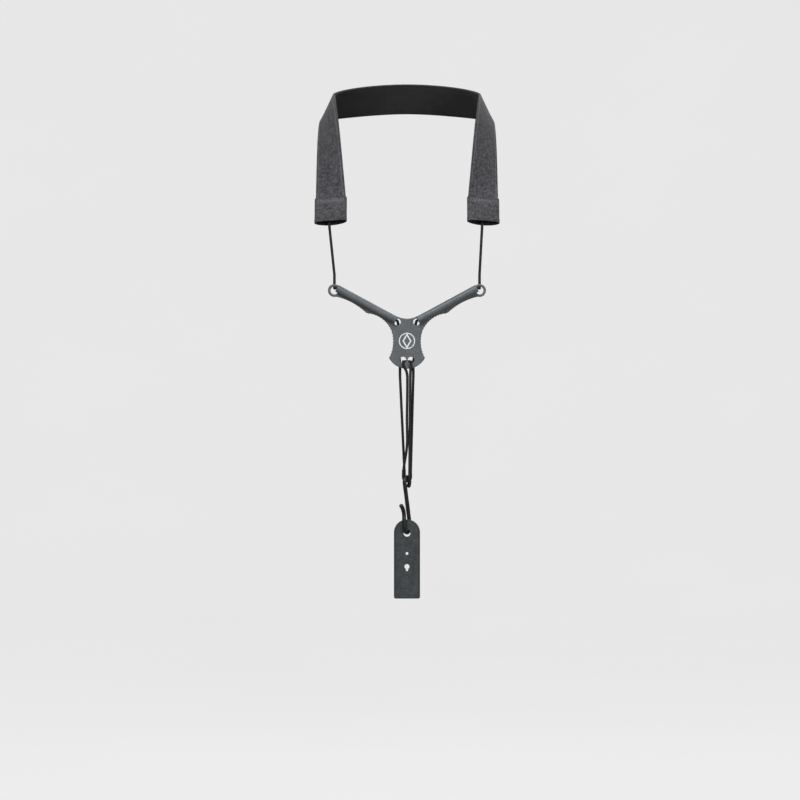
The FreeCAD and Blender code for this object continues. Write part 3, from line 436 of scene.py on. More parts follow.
def object_place(tree):
    return add_node(tree, "ShaderNodeTexCoord", {}).outputs["Object"]


def cloth_place(tree):
    """Millimetres along and across the cloth."""
    place = add_node(tree, "ShaderNodeUVMap", {}, uv_map="millimetres").outputs["UV"]
    split = add_node(tree, "ShaderNodeSeparateXYZ", {"Vector": place})
    return split.outputs["X"], split.outputs["Y"]


def make_webbing():
    """Chevron twill: diagonal ribs of fine yarns. The inside of a sleeve lies at negative lengths and is
    painted near black as shade.
    """
    material, tree, shader = new_material("webbing_twill")
    along, across = cloth_place(tree)
    fold = maths(tree, "PINGPONG", across, CHEVRON_WIDTH * 1000)
    rib = wave(tree, maths(tree, "ADD", along, fold), TWILL_PITCH * 1000)
    warp = wave(tree, across, 0.6)
    weft = wave(tree, along, 0.45)
    yarn = times(tree, warp, ranged(tree, weft, 0, 1, 0.55, 1))
    place = object_place(tree)
    cloudy = noise(tree, place, 60.0)
    fibre = noise(tree, place, 2600.0, 2.0)
    fleck = ranged(tree, noise(tree, place, 480.0, 3.0, 0.7), 0.36, 0.64, -0.42, 0.42)
    shade = maths(tree, "MULTIPLY_ADD", rib, 0.55, times(tree, yarn, 0.25))
    shade = maths(tree, "ADD", shade, maths(tree, "MULTIPLY_ADD", fibre, 0.35, -0.12))
    shade = maths(tree, "ADD", shade, fleck)
    # Painted shade: at negative lengths, inside a sleeve, the cloth fades to near black to stand in for the
    # shade in the sleeve's mouth.
    painted_inside_shade_fac = ranged(tree, along, -3, 0, 0.12, 1.0)
    shade = times(tree, shade, ranged(tree, cloudy, 0.3, 0.7, 0.86, 1.1))
    cloth = blended(tree, shade, grey(0.015, 1.1), grey(0.128, 1.12))
    # grey(0.004) is the near-black painted shade on the sleeve's inside.
    colour = blended(tree, painted_inside_shade_fac, grey(0.004), cloth)
    height = maths(tree, "MULTIPLY_ADD", yarn, 0.6, times(tree, fibre, 0.5))
    bumped(tree, shader, height, 0.00016)
    feed(tree, shader, Base_Color=colour, Roughness=ranged(tree, fibre, 0.3, 0.7, 0.72, 0.92),
         Sheen_Weight=0.18, Sheen_Roughness=0.5, Specular_IOR_Level=0.3)
    return material


def make_lining():
    """Soft brushed knit: short loops in rows under a light nap."""
    material, tree, shader = new_material("lining_knit")
    along, across = cloth_place(tree)
    place = object_place(tree)
    rows = wave(tree, maths(tree, "ADD", across, times(tree, wave(tree, along, 0.9), 0.16)), 0.7)
    loops = wave(tree, along, 0.9)
    nap = noise(tree, place, 1500.0, 4.0)
    cloudy = noise(tree, place, 45.0)
    shade = times(tree, maths(tree, "MULTIPLY_ADD", rows, 0.4, nap), ranged(
        tree, cloudy, 0.3, 0.7, 0.7, 1.1))
    colour = blended(tree, shade, grey(0.005), grey(0.030))
    height = maths(tree, "MULTIPLY_ADD", rows, 0.5, maths(tree, "MULTIPLY_ADD", loops, 0.25, nap))
    bumped(tree, shader, height, 0.00022)
    feed(tree, shader, Base_Color=colour, Roughness=0.94, Sheen_Weight=0.12, Sheen_Roughness=0.4,
         Specular_IOR_Level=0.2)
    return material


def make_thread():
    """Twisted sewing thread."""
    material, tree, shader = new_material("sewing_thread")
    along, around = cloth_place(tree)
    twist = wave(tree, maths(tree, "ADD", along, times(tree, around, 0.8)), 0.4)
    colour = blended(tree, twist, grey(0.07), grey(0.36, 1.1))
    bumped(tree, shader, twist, 0.00008)
    feed(tree, shader, Base_Color=colour, Roughness=0.6, Sheen_Weight=0.1)
    return material


def make_cord():
    """Braided synthetic cord: fine filaments on each strand, with a slight sheen."""
    material, tree, shader = new_material("braided_cord")
    along, around = cloth_place(tree)
    place = object_place(tree)
    filament = wave(tree, maths(tree, "ADD", along, times(tree, around, 0.9)), 0.16)
    fibre = noise(tree, place, 3200.0, 2.0)
    cloudy = noise(tree, place, 120.0)
    shade = times(tree, maths(tree, "MULTIPLY_ADD", filament, 0.5, fibre), cloudy)
    colour = blended(tree, shade, grey(0.004), grey(0.034))
    bumped(tree, shader, maths(tree, "ADD", filament, fibre), 0.00006)
    feed(tree, shader, Base_Color=colour, Roughness=ranged(tree, fibre, 0.3, 0.7, 0.42, 0.62),
         Sheen_Weight=0.02, Specular_IOR_Level=0.35)
    return material


def make_yoke():
    """Moulded plastic with a fine sandy grain, rubbed smoother and paler on its edges."""
    material, tree, shader = new_material("yoke_plastic")
    place = object_place(tree)
    grain = noise(tree, place, 1900.0, 3.0, 0.6)
    speckle = noise(tree, place, 750.0, 2.0)
    cloudy = noise(tree, place, 55.0, 2.0)
    edge = add_node(tree, "ShaderNodeNewGeometry", {}).outputs["Pointiness"]
    worn = ranged(tree, edge, 0.52, 0.60, 0.0, 1.0)
    shade = maths(tree, "MULTIPLY_ADD", speckle, 0.75, times(tree, grain, 0.45))
    shade = times(tree, shade, ranged(tree, cloudy, 0.3, 0.7, 0.82, 1.12))
    base = blended(tree, shade, (0.028, 0.031, 0.036, 1), (0.205, 0.222, 0.238, 1))
    colour = blended(tree, times(tree, worn, 0.35), base, (0.23, 0.245, 0.26, 1))
    rough = ranged(tree, speckle, 0.3, 0.7, 0.34, 0.54)
    bumped(tree, shader, grain, 0.00010, 0.9)
    feed(tree, shader, Base_Color=colour, Roughness=maths(tree, "MULTIPLY_ADD", worn, -0.1, rough),
         Specular_IOR_Level=0.45)
    return material


def make_emblem():
    """White printing ink with tiny pinholes."""
    material, tree, shader = new_material("emblem_ink")
    place = object_place(tree)
    pits = noise(tree, place, 2200.0, 2.0)
    cloudy = noise(tree, place, 260.0)
    gaps = ranged(tree, pits, 0.24, 0.34, 0.0, 1.0)
    colour = blended(tree, times(tree, gaps, ranged(tree, cloudy, 0.3, 0.7, 0.9, 1.0)),
                     grey(0.30), grey(0.92, 1.0))
    bumped(tree, shader, pits, 0.00004)
    feed(tree, shader, Base_Color=colour, Roughness=0.55)
    return material


def make_coating():
    """Dipped black coating: satin, with soft runs, scuffs and a few rubbed spots."""
    material, tree, shader = new_material("hook_coating")
    place = object_place(tree)
    runs = noise(tree, place, 230.0, 2.0)
    scuffs = noise(tree, place, 1400.0, 4.0, 0.7)
    rubbed = ranged(tree, times(tree, noise(tree, place, 160.0), scuffs), 0.30, 0.42, 0, 1)
    colour = blended(tree, rubbed, grey(0.010), grey(0.055))
    bumped(tree, shader, maths(tree, "MULTIPLY_ADD", scuffs, 0.25, runs), 0.00012)
    feed(tree, shader, Base_Color=colour, Roughness=ranged(tree, scuffs, 0.3, 0.7, 0.26, 0.46),
         Specular_IOR_Level=0.55)
    return material


def make_wire():
    """Drawn steel wire with fine lines along it."""
    material, tree, shader = new_material("hook_steel")
    place = object_place(tree)
    lines = noise(tree, add_node(tree, "ShaderNodeMapping", {
        "Vector": place, "Scale": (2400.0, 2400.0, 120.0)}).outputs["Vector"], 1.0, 2.0)
    colour = blended(tree, lines, grey(0.42), grey(0.62))
    bumped(tree, shader, lines, 0.00003)
    feed(tree, shader, Base_Color=colour, Metallic=1.0, Roughness=ranged(tree, lines, 0.3, 0.7, 0.25, 0.4))
    return material


def make_leather():
    """Finished black-grey leather: pebbled grain, pores, a darker burnished edge and light rubbing."""
    material, tree, shader = new_material("tab_leather")
    place = object_place(tree)
    cells = add_node(tree, "ShaderNodeTexVoronoi", {"Vector": place, "Scale": 1150.0, "Randomness": 0.9},
                     feature="DISTANCE_TO_EDGE").outputs["Distance"]
    pebble = ranged(tree, cells, 0.0, 0.25, 0.0, 1.0)
    pores = noise(tree, place, 3300.0, 3.0)
    cloudy = noise(tree, place, 85.0, 4.0)
    rubbed = noise(tree, place, 320.0, 3.0)
    split = add_node(tree, "ShaderNodeSeparateXYZ", {"Vector": place})
    from_side = maths(tree, "SUBTRACT", TAB_HALF, maths(tree, "ABSOLUTE", split.outputs["X"]))
    edge = ranged(tree, from_side, 0.0002, 0.0022, 0.0, 1.0)
    foot = ranged(tree, maths(tree, "SUBTRACT", split.outputs["Z"], TAB_BOTTOM), 0.0002, 0.0022, 0.0, 1.0)
    body = times(tree, edge, foot)
    shade = maths(tree, "MULTIPLY_ADD", cloudy, 0.7, times(tree, pebble, 0.3))
    shade = maths(tree, "ADD", shade, maths(tree, "MULTIPLY_ADD", rubbed, 0.9, -0.42))
    face = blended(tree, shade, (0.020, 0.023, 0.025, 1), (0.082, 0.092, 0.098, 1))
    colour = blended(tree, body, (0.014, 0.015, 0.016, 1), face)
    height = maths(tree, "MULTIPLY_ADD", pebble, 0.7, times(tree, pores, 0.4))
    bumped(tree, shader, height, 0.00012, 0.8)
    feed(tree, shader, Base_Color=colour, Roughness=ranged(tree, rubbed, 0.3, 0.7, 0.42, 0.6),
         Specular_IOR_Level=0.42)
    return material


def make_backdrop():
    """Matt pale paper lit from behind, faintly mottled. It looks brighter than the light it gives."""
    material, tree, shader = new_material("pale_paper")
    mottle = noise(tree, object_place(tree), 2.0)
    colour = blended(tree, mottle, grey(0.97, 1.0), grey(1.0, 1.0))
    seen = add_node(tree, "ShaderNodeLightPath", {}).outputs["Is Camera Ray"]
    feed(tree, shader, Base_Color=grey(0.10, 1.0), Roughness=0.95, Specular_IOR_Level=0.0,
         Emission_Color=colour, Emission_Strength=ranged(tree, seen, 0, 1, PAPER_GLOW, PAPER_SEEN))
    return material


WEBBING = make_webbing()
LINING = make_lining()
THREAD = make_thread()
CORD = make_cord()
YOKE = make_yoke()
EMBLEM = make_emblem()
COATING = make_coating()
WIRE = make_wire()
LEATHER = make_leather()


# ---- neck band

def bezier(poles, share):
    """Points and tangents of a cubic curve with four poles."""
    share = share[:, None]
    a, b, c, d = [np.array(pole, float) for pole in poles]
    rest = 1 - share
    spot = a * rest ** 3 + 3 * b * rest ** 2 * share + 3 * c * rest * share ** 2 + d * share ** 3
    tangent = 3 * ((b - a) * rest ** 2 + 2 * (c - b) * rest * share + (d - c) * share ** 2)
    return spot, tangent / np.linalg.norm(tangent, axis=1)[:, None]


def right_half():
    """Centre points, headings and leans of the band's right half, from its end to the nape."""
    slope = math.radians(END_SLOPE)
    up = array(0, math.sin(slope), math.cos(slope))
    front = np.array(END) + up * SLEEVE_OVERLAP
    crest, nape = np.array(CREST), np.array(NAPE)
    rise = crest[2] - front[2]
    back = array(0, 1, 0.12)
    reach = (nape[1] - crest[1]) * BACK_PULL
    share = np.linspace(0, 1, 300)
    lead = np.linspace(0, 1, 60)[:-1, None]
    lead_spots = np.array(END) + up * SLEEVE_OVERLAP * lead
    rising = [front, front + up * rise * FRONT_PULL, crest - back * rise * CREST_PULL, crest]
    sweeping = [crest, crest + back * reach, nape + array(crest[0] * NAPE_PULL, 0, 0), nape]
    spots_one, ways_one = bezier(rising, share)
    spots_two, ways_two = bezier(sweeping, share)
    leans_one = LEANS[0] + (LEANS[1] - LEANS[0]) * share ** LEAN_ONSET
    leans_two = LEANS[1] + (LEANS[2] - LEANS[1]) * share * share * (3 - 2 * share)
    spots = np.concatenate([lead_spots, spots_one, spots_two[1:]])
    ways = np.concatenate([np.tile(up, (len(lead), 1)), ways_one, ways_two[1:]])
    leans = np.concatenate([np.full(len(lead), LEANS[0]), leans_one, leans_two[1:]])
    return spots, ways, leans


def band_frames():
    """Evenly spaced centres, across and inward directions from the right end round to the left end."""
    spots, ways, leans = right_half()
    outward = np.cross(ways, array(0, 0, 1))
    outward /= np.linalg.norm(outward, axis=1)[:, None]
    downward = np.cross(ways, outward)
    turn = np.radians(leans)[:, None]
    across = outward * np.cos(turn) + downward * np.sin(turn)
    inward = np.cross(ways, across)
    flip = array(-1, 1, 1)
    round_parts = [np.concatenate([part, (part * flip)[-2::-1]]) for part in (spots, across, inward)]
    places = lengths_along(round_parts[0])
    wanted = np.linspace(0, places[-1], int(places[-1] / BAND_STEP))
    rows = [points_at(wanted, places, part) for part in round_parts]
    rows[1] /= np.linalg.norm(rows[1], axis=1)[:, None]
    rows[2] /= np.linalg.norm(rows[2], axis=1)[:, None]
    return rows, wanted


def twill(along, across):
    """Height of the chevron twill, from 0 to 1."""
    fold = CHEVRON_WIDTH - np.abs(np.mod(across, 2 * CHEVRON_WIDTH) - CHEVRON_WIDTH)
    return 0.5 + 0.5 * np.sin(2 * math.pi * (along + fold) / TWILL_PITCH)


def flat_section(width, thickness, front_steps, back_steps, edge_steps):
    """Closed outline of a flat strip with round edges: across, depth, and distance round it."""
    radius = thickness / 2
    half = width / 2 - radius
    turn = np.linspace(0, math.pi, edge_steps, endpoint=False)
    front = np.linspace(-half, half, front_steps, endpoint=False)
    back = np.linspace(half, -half, back_steps, endpoint=False)
    across = np.concatenate([front, half + radius * np.sin(turn), back, -half - radius * np.sin(turn)])
    depth = np.concatenate([np.full(front_steps, -radius), -radius * np.cos(turn),
                            np.full(back_steps, radius), radius * np.cos(turn)])
    steps = np.hypot(np.diff(across), np.diff(depth))
    return across, depth, np.concatenate([[0], np.cumsum(steps)]) - half


def lay_strip(node, material, frames, distances, side, around, deep):
    """One layer of the band: its section's points lie across and deep from each of the frames."""
    spots, across, inward = frames
    points = spots[:, None] + across[:, None] * side[None, :, None] + inward[:, None] * deep[:, :, None]
    piece = new_piece(node + "_cloth", grid_mesh(node + "_cloth", points, distances, around))
    riding_piece(piece, material, "neck_band", node)


def build_webbing(frames, distances):
    """Outer webbing: chevron ribs on its front face and slightly full, rolled edges."""
    offset = -(LINING_THICKNESS + LAYER_GAP) / 2
    width, thickness = BAND_WIDTH - TWILL_HEIGHT, WEBBING_THICKNESS - 2 * TWILL_HEIGHT
    side, depth, around = flat_section(width, thickness, 60, 10, 5)
    front = np.clip((np.abs(side) < BAND_WIDTH / 2 - 0.0006) * (depth < 0), 0, 1)
    rise = twill(distances[:, None], side[None, :]) * TWILL_HEIGHT * front[None, :]
    selvedge = np.exp(-((BAND_WIDTH / 2 - np.abs(side)) / 0.0011) ** 2) * 0.00008
    deep = depth[None, :] + offset - rise - selvedge[None, :] * (depth < 0)
    lay_strip("band_webbing", WEBBING, frames, distances, side, around, deep)


def build_lining(frames, distances):
    """Soft lining: crowned between its sewn edges, with slow puckers along them."""
    distances = distances[::2]
    offset = (WEBBING_THICKNESS + LAYER_GAP) / 2
    side, depth, around = flat_section(LINING_WIDTH, LINING_THICKNESS, 28, 28, 8)
    from_edge = LINING_WIDTH / 2 - np.abs(side)
    crown = np.clip(from_edge / 0.004, 0, 1) ** 0.6 * 0.00045
    seam = -np.exp(-((from_edge - 0.0022) / 0.0006) ** 2) * 0.0003
    pucker = np.sin(2 * math.pi * distances / 0.0034)[:, None] * np.exp(-(from_edge / 0.003) ** 2) * 0.00012
    deep = depth[None, :] + offset + (crown + seam + pucker) * (depth > 0)
    lay_strip("band_lining", LINING, [part[::2] for part in frames], distances, side, around, deep)


def thread_points(start, end, lift, rise):
    """Seven points of one stitch that comes up out of the cloth and dips back into it."""
    shares = np.linspace(0, 1, 7)[:, None]
    arch = np.sin(shares * math.pi) ** 0.5 * rise - 0.00018
    return start * (1 - shares) + end * shares + lift * arch


def thread_piece(name, runs):
    """Many short threads, in one piece that rides on the band."""
    points, faces, places = [], [], []
    for number, run in enumerate(runs):
        outward, angles = outward_rings(run, THREAD_SIDES)
        radii = np.full(len(run), THREAD_RADIUS)
        radii[[0, -1]] *= 0.35
        points.append(run[:, None] + outward * radii[:, None, None])
        base = number * len(run) * THREAD_SIDES
        faces += [[base + corner for corner in face] for face in ring_faces(len(run), THREAD_SIDES)]
        along = np.linspace(0, 1, len(run)) * np.linalg.norm(run[-1] - run[0])
        places.append(ring_places(along, angles / (2 * math.pi) / 1000))
    mesh = mapped_mesh(name, np.concatenate(points), faces, np.concatenate(places))
    piece = finish_piece(new_piece(name, mesh), THREAD)
    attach(piece, "neck_band")
    return piece


def build_edge_stitches(frames, distances):
    """Two rows of stitches that sew the lining to the webbing, on the front face."""
    spots, across, inward = frames
    runs = []
    surface = -(LINING_THICKNESS + LAYER_GAP) / 2 - WEBBING_THICKNESS / 2 + TWILL_HEIGHT / 2
    clear = SLEEVE_OVERLAP + 0.0008
    start = clear
    while start + STITCH_LENGTH < distances[-1] - clear:
        for side in (-1, 1):
            ends = []
            for place in (start, start + STITCH_LENGTH):
                row = int(place / BAND_STEP)
                edge_row = across[row] * side * (BAND_WIDTH / 2 - EDGE_ROW_INSET)
                ends.append(spots[row] + edge_row + inward[row] * surface)
            runs.append(thread_points(ends[0], ends[1], -inward[row], 0.00022))
        start += STITCH_LENGTH + EDGE_STITCH_GAP
    thread_piece("band_edge_stitches", runs)


# ---- end sleeves, stitches and knots

def sleeve_axes(side):
    """Origin at the sleeve's mouth, and its across, inward and up directions."""
    slope, lean = math.radians(END_SLOPE), math.radians(LEANS[0])
    up = array(0, math.sin(slope), math.cos(slope))
    flat = array(1, 0, 0)
    across = flat * math.cos(lean) + np.cross(up, flat) * math.sin(lean)
    inward = np.cross(up, across)
    flip = array(side, 1, 1)
    mouth = np.array(END) - up * (SLEEVE_LENGTH - SLEEVE_OVERLAP)
    return mouth * flip, across * flip, inward * flip, up


def sleeve_half_depth(height):
    """Half the sleeve's outer thickness at a height, pinched where it is sewn."""
    share = np.clip(height / SLEEVE_LENGTH, 0, 1)
    open_part = (1 - share) ** 1.35
    depth = SLEEVE_TOP + (SLEEVE_MOUTH - SLEEVE_TOP) * open_part
    for row in STITCH_ROWS:
        depth = depth - 0.00045 * np.exp(-((height - row) / 0.0009) ** 2)
    hem = 1 / (1 + np.exp((height - HEM_LENGTH) / 0.00018))
    return depth / 2 + 0.00022 * hem


def sleeve_outline(half_width, half_depth, fullness, count):
    """Points of a soft oval: fullness 2 is an ellipse, more is boxier."""
    turn = np.linspace(0, 2 * math.pi, count, endpoint=False)
    cosine, sine = np.cos(turn), np.sin(turn)
    power = 2 / fullness
    side = half_width * np.sign(cosine) * np.abs(cosine) ** power
    depth = half_depth * np.sign(sine) * np.abs(sine) ** power
    return side, depth


def build_sleeve(node, side):
    """Sewn cloth sleeve with a lens-shaped open mouth and a folded hem."""
    mouth, across, inward, up = sleeve_axes(side)
    count = 176
    outside = np.linspace(0.0004, SLEEVE_LENGTH, 76)
    lip = np.linspace(0, math.pi, 7)[1:-1]
    inside = np.linspace(0.0004, SLEEVE_LENGTH - 0.0006, 40)
    rows = [(height, 0.0) for height in outside[::-1]]
    rows += [(0.0004 - math.sin(turn) * SLEEVE_WALL / 2, (1 - math.cos(turn)) / 2 * SLEEVE_WALL)
             for turn in lip]
    rows += [(height, SLEEVE_WALL) for height in inside]
    points, places = [], []
    for height, inset in rows:
        share = min(1.0, max(0.0, height / SLEEVE_LENGTH))
        half_depth = float(sleeve_half_depth(height)) - inset
        half_width = SLEEVE_WIDTH / 2 - inset * 0.7 + 0.0002 * (height < HEM_LENGTH)
        fullness = MOUTH_FULLNESS + (SLEEVE_FULLNESS - MOUTH_FULLNESS) * share ** 0.8
        wide, deep = sleeve_outline(half_width, max(half_depth, 0.0003), fullness, count)
        rib = twill(height, wide) * TWILL_HEIGHT if inset == 0 else 0.0
        sag = 0.0005 * (1 - share) * np.cos(wide / half_width * math.pi)
        deep = deep * (1 + rib / max(half_depth, 0.001)) + sag * 0.3
        curl = -0.0007 * (1 - share) ** 3 * (1 - (wide / half_width) ** 2)
        ring = (mouth + up * height + across * wide[:, None] + inward * deep[:, None] + up * curl[:, None])
        points.append(ring)
        # Inner rows get negative lengths, which the webbing material paints with near-black shade.
        places.append(height if inset == 0 else -height - inset)
    wide, deep = sleeve_outline(SLEEVE_WIDTH / 2, SLEEVE_TOP / 2, SLEEVE_FULLNESS, count)
    around = np.concatenate([[0], np.cumsum(np.hypot(np.diff(wide), np.diff(deep)))])
    around = around - around[3 * count // 4]
    mesh = grid_mesh(node + "_cloth", np.array(points), np.array(places), around)
    riding_piece(new_piece(node + "_cloth", mesh), WEBBING, "neck_band", node)


def build_sleeve_stitches(node, side):
    """A bar of zigzag stitches between two rows, on the front and the back of the sleeve."""
    mouth, across, inward, up = sleeve_axes(side)
    high, low = STITCH_ROWS
    count = int((SLEEVE_WIDTH - 0.003) / STITCH_PITCH)
    runs = []
    for face in (-1, 1):
        for number in range(count):
            left = (number - count / 2) * STITCH_PITCH
            middle = left + STITCH_PITCH / 2

            def spot(place, height):
                out = float(sleeve_half_depth(height)) + 0.0001
                return mouth + across * place + up * height + inward * face * out

            lift = inward * face
            runs.append(thread_points(spot(left, low), spot(middle, high), lift, 0.0003))
            runs.append(thread_points(spot(middle, high), spot(left + STITCH_PITCH, low), lift, 0.0003))
            for height in STITCH_ROWS:
                first, last = left + 0.0004, left + 0.0004 + STITCH_LENGTH
                runs.append(thread_points(spot(first, height), spot(last, height), lift, 0.0003))
    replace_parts(thread_piece(node + "_thread", runs), node)


def build_knot(side_name, side):
    """Overhand knot inside the sleeve with the cord's tail, which bends at the sleeve's mouth."""
    mouth, across, inward, up = sleeve_axes(side)
    across = across * side
    centre = mouth - across * KNOT_SHIFT + up * KNOT_HEIGHT
    turn = np.linspace(math.radians(-60), math.radians(590), 26)
    wide = 0.0021 * np.sin(turn) + 0.0008 * np.sin(2 * turn)
    high = 0.0021 * np.cos(turn) - 0.0006 * np.cos(2 * turn) - 0.0002 * (turn - turn[0])
    deep = 0.0008 * np.sin(1.5 * turn)
    knot = [centre + across * a + up * b + inward * c for a, b, c in zip(wide, high, deep)]
    pivot = mouth - across * KNOT_SHIFT - up * TAIL_LENGTH
    end = end_centre("side_cord_" + side_name, False)
    way = unit(np.array(end) - pivot)
    tail = [mouth - across * KNOT_SHIFT + up * 0.0012, mouth - across * KNOT_SHIFT - up * 0.0012,
            pivot + up * 0.0016, pivot + way * 0.0016, pivot + way * 0.0042]
    piece = cord_piece("cord_knot_" + side_name, knot + tail)
    above, below = pivot + up * BEND_REACH, pivot + way * BEND_REACH
    tuple(above)
    tuple(below)
    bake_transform(piece)
    return pivot, way


# ---- cord lengths

def along_tube():
    slope = math.radians(TUBE_SLOPE)
    return array(math.cos(slope), 0, math.sin(slope))


def ring_point(angle, radius, depth):
    turn = math.radians(angle)
    return (RING[0] + radius * math.cos(turn), depth, RING[1] + radius * math.sin(turn))


def wrap_steps(start, end):
    """Offsets (outward, along) of a cord's path round an edge, in four even steps."""
    turns = np.radians(np.linspace(start, end, 4))
    return [(CORD_WRAP * math.cos(turn), CORD_WRAP * math.sin(turn)) for turn in turns]


def tube_points(shares):
    mouth = array(TUBE_START[0], -TUBE_FORWARD, TUBE_START[1]) + along_tube() * TUBE_LENGTH
    return [tuple(mouth - along_tube() * TUBE_LENGTH * share) for share in shares]


def ring_line(guide_top):
    """From above the ring, through it from behind, to half way along the tube."""
    points = [(RING[0], CORD_BEHIND, guide_top), (RING[0], CORD_BEHIND, guide_top - 0.004)]
    points += [ring_point(90, RING_HOLE + 0.0016, CORD_BEHIND)]
    points += [ring_point(90, RING_HOLE - drop, PLATE_HALF + back) for back, drop in wrap_steps(0, 90)]
    points += [ring_point(98, RING_HOLE - CORD_WRAP, 0.0002),
               ring_point(110, RING_HOLE - CORD_WRAP, -PLATE_HALF),
               ring_point(124, RING_HOLE - CORD_WRAP * 0.8, -PLATE_HALF - CORD_WRAP * 0.62)]
    return points + tube_points((0.0, 0.05, 0.3, 0.5))


def inner_line(foot_x, foot_z):
    """From inside the tube, out through the centre hole and down behind the plate."""
    hole_x, hole_z = CENTRE_HOLE
    low = hole_z - CENTRE_HOLE_RADIUS
    points = tube_points((0.47, 0.7, 0.95))
    points += [(TUBE_START[0] - 0.0004, -TUBE_FORWARD + 0.0001, TUBE_START[1] - 0.0002),
               (hole_x - 0.0001, -PLATE_HALF, hole_z + 0.0006), (hole_x - 0.0005, 0, hole_z - 0.0009)]
    points += [(hole_x - 0.0008, PLATE_HALF + back, low + rise) for back, rise in wrap_steps(90, 0)]
    points += [(hole_x - 0.001, CORD_BEHIND, low - 0.004), (hole_x - 0.0013, CORD_BEHIND, low - 0.012),
               ((hole_x + foot_x) / 2, CORD_BEHIND, low - 0.024),
               (foot_x + 0.0001, CORD_BEHIND, foot_z + 0.014), (foot_x, CORD_BEHIND, foot_z + 0.006),
               (foot_x, CORD_BEHIND, foot_z)]
    return points


def foot_line(x_low, x_hole, low):
    """From below the yoke up over its foot and through a foot hole to the back."""
    hole_low = FOOT_HOLE[1] - FOOT_HOLE_RADIUS
    front = -PLATE_HALF - CORD_WRAP
    side = math.copysign(1, x_hole)
    points = [(x_low, front, low), (x_low + (x_hole - x_low) * 0.25, front - 0.0001, low + 0.006)]
    points += [(x_hole, -PLATE_HALF - out, hole_low + rise) for out, rise in wrap_steps(0, 90)]
    points += [(x_hole, 0.0002, hole_low + CORD_WRAP + 0.0001),
               (x_hole - side * 0.0003, PLATE_HALF + 0.0002, hole_low + CORD_WRAP + 0.0002),
               (side * 0.0019, CORD_BEHIND - 0.0001, hole_low + CORD_WRAP + 0.0003)]
    return points


def hook_directions():
    turn = math.radians(HOOK_TURN)
    return array(math.cos(turn), math.sin(turn), 0), array(math.sin(turn), -math.cos(turn), 0)


def loop_line(side_along, top_z):
    """Down one side of the eye, through it and up the other side."""
    along, across = hook_directions()
    slack = EYE_RADIUS - COATING_RADIUS - CORD_RADIUS - 0.0001
    low_z = EYE_Z + math.sqrt(slack ** 2 - LOOP_SPREAD ** 2)
    shift = along * (side_along * LOOP_SPREAD)
    up = array(0, 0, 1)
    arc = []
    for angle in (225, 247.5, 270, 292.5, 315):
        turn = math.radians(angle)
        rise = low_z + LOOP_CLEAR * (1 + math.sin(turn))
        arc.append(shift + across * (LOOP_CLEAR * math.cos(turn)) + up * rise)
    left, right = shift - across * LOOP_CLEAR, shift + across * LOOP_CLEAR
    shoulder = up * (low_z + LOOP_CLEAR * 1.05)
    return ([left + up * top_z, left + up * (top_z - 0.003), left + shoulder] + arc
            + [right + shoulder, right + up * (top_z - 0.003), right + up * top_z])


def drop_level():
    """Height at which the yoke's cords pass on to the hanging cords."""
    return Vector(JOINTS["drop_swing"]["pos_m"]).z - 2 * BEND_REACH


def build_side(side_name, side):
    """Cords of one side: from the knot to the yoke's foot."""
    pivot, way = build_knot(side_name, side)
    guide_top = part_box("ring_cord_" + side_name)[1][2]
    top, bottom = pivot + way * 0.0027, array(RING[0] * side, CORD_BEHIND, guide_top)
    hang = cord_piece("side_cord_" + side_name, [top, bottom - way * 0.0002], CORD_RADIUS - CORE_GAP)
    tuple(top)
    tuple(bottom)
    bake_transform(hang)

    points = mirrored(ring_line(guide_top + LAP), side)
    bending_cord("ring_cord_" + side_name, points)

    foot_x = abs(end_centre("drop_cord_rear_" + side_name, True).x)
    points = mirrored(inner_line(foot_x, drop_level()), side)
    bending_cord("yoke_cord_" + side_name, points)


DROP_BUNCH = (-0.0001, -0.0026, 0.080)      # where the left front cord leaves the right-hand pair
FRONT_TOPS = {"left": 0.0004, "right": 0.0032}


def build_bridge():
    """The length over the front of the yoke's foot."""
    low = drop_level()
    left = foot_line(FRONT_TOPS["left"], -FOOT_HOLE[0] + 0.0001, low)
    right = foot_line(FRONT_TOPS["right"], FOOT_HOLE[0], low)
    bending_cord("bridge_cord", left + right[::-1])


def hanging_line(start, end, by_way_of):
    """A cord pulled straight, or straight down to a place where it lies against its neighbours."""
    if by_way_of is None:
        way = end - start
        return [start, start + way * 0.3, start + way * 0.7, end]
    bunch = np.array(by_way_of)
    upper = [start, start * 0.66 + bunch * 0.34, start * 0.3 + bunch * 0.7]
    return upper + [bunch, bunch * 0.4 + end * 0.6, end]


def build_drops():
    """Four hanging lengths and the two loops through the hook's eye."""
    swing_z = JOINTS["drop_swing"]["pos_m"][2]
    top_z = swing_z - 2 * BEND_REACH + LAP
    loop_top_z = end_centre("eye_loop_front", True).z
    along, across = hook_directions()
    places = {
        "rear_left": (-1, 1), "front_left": (-1, -1), "front_right": (1, -1), "rear_right": (1, 1),
    }
    for name, (side_across, side_along) in places.items():
        row, side_name = name.split("_")
        if row == "rear":
            top = end_centre("drop_cord_" + name, True)
            start = array(top.x, CORD_BEHIND, top_z)
        else:
            start = array(FRONT_TOPS[side_name], -PLATE_HALF - CORD_WRAP, top_z)
        end = across * (side_across * LOOP_CLEAR) + along * (side_along * LOOP_SPREAD)
        end = end + array(0, 0, loop_top_z - LAP)
        points = hanging_line(start, end, DROP_BUNCH if name == "front_left" else None)
        piece = cord_piece("drop_cord_" + name, points, CORD_RADIUS - CORE_GAP)
        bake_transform(piece)
    for name, side_along in (("front", -1), ("rear", 1)):
        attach(cord_piece("eye_loop_" + name, loop_line(side_along, loop_top_z)), "hook_carrier")


# ---- yoke, hook and tab

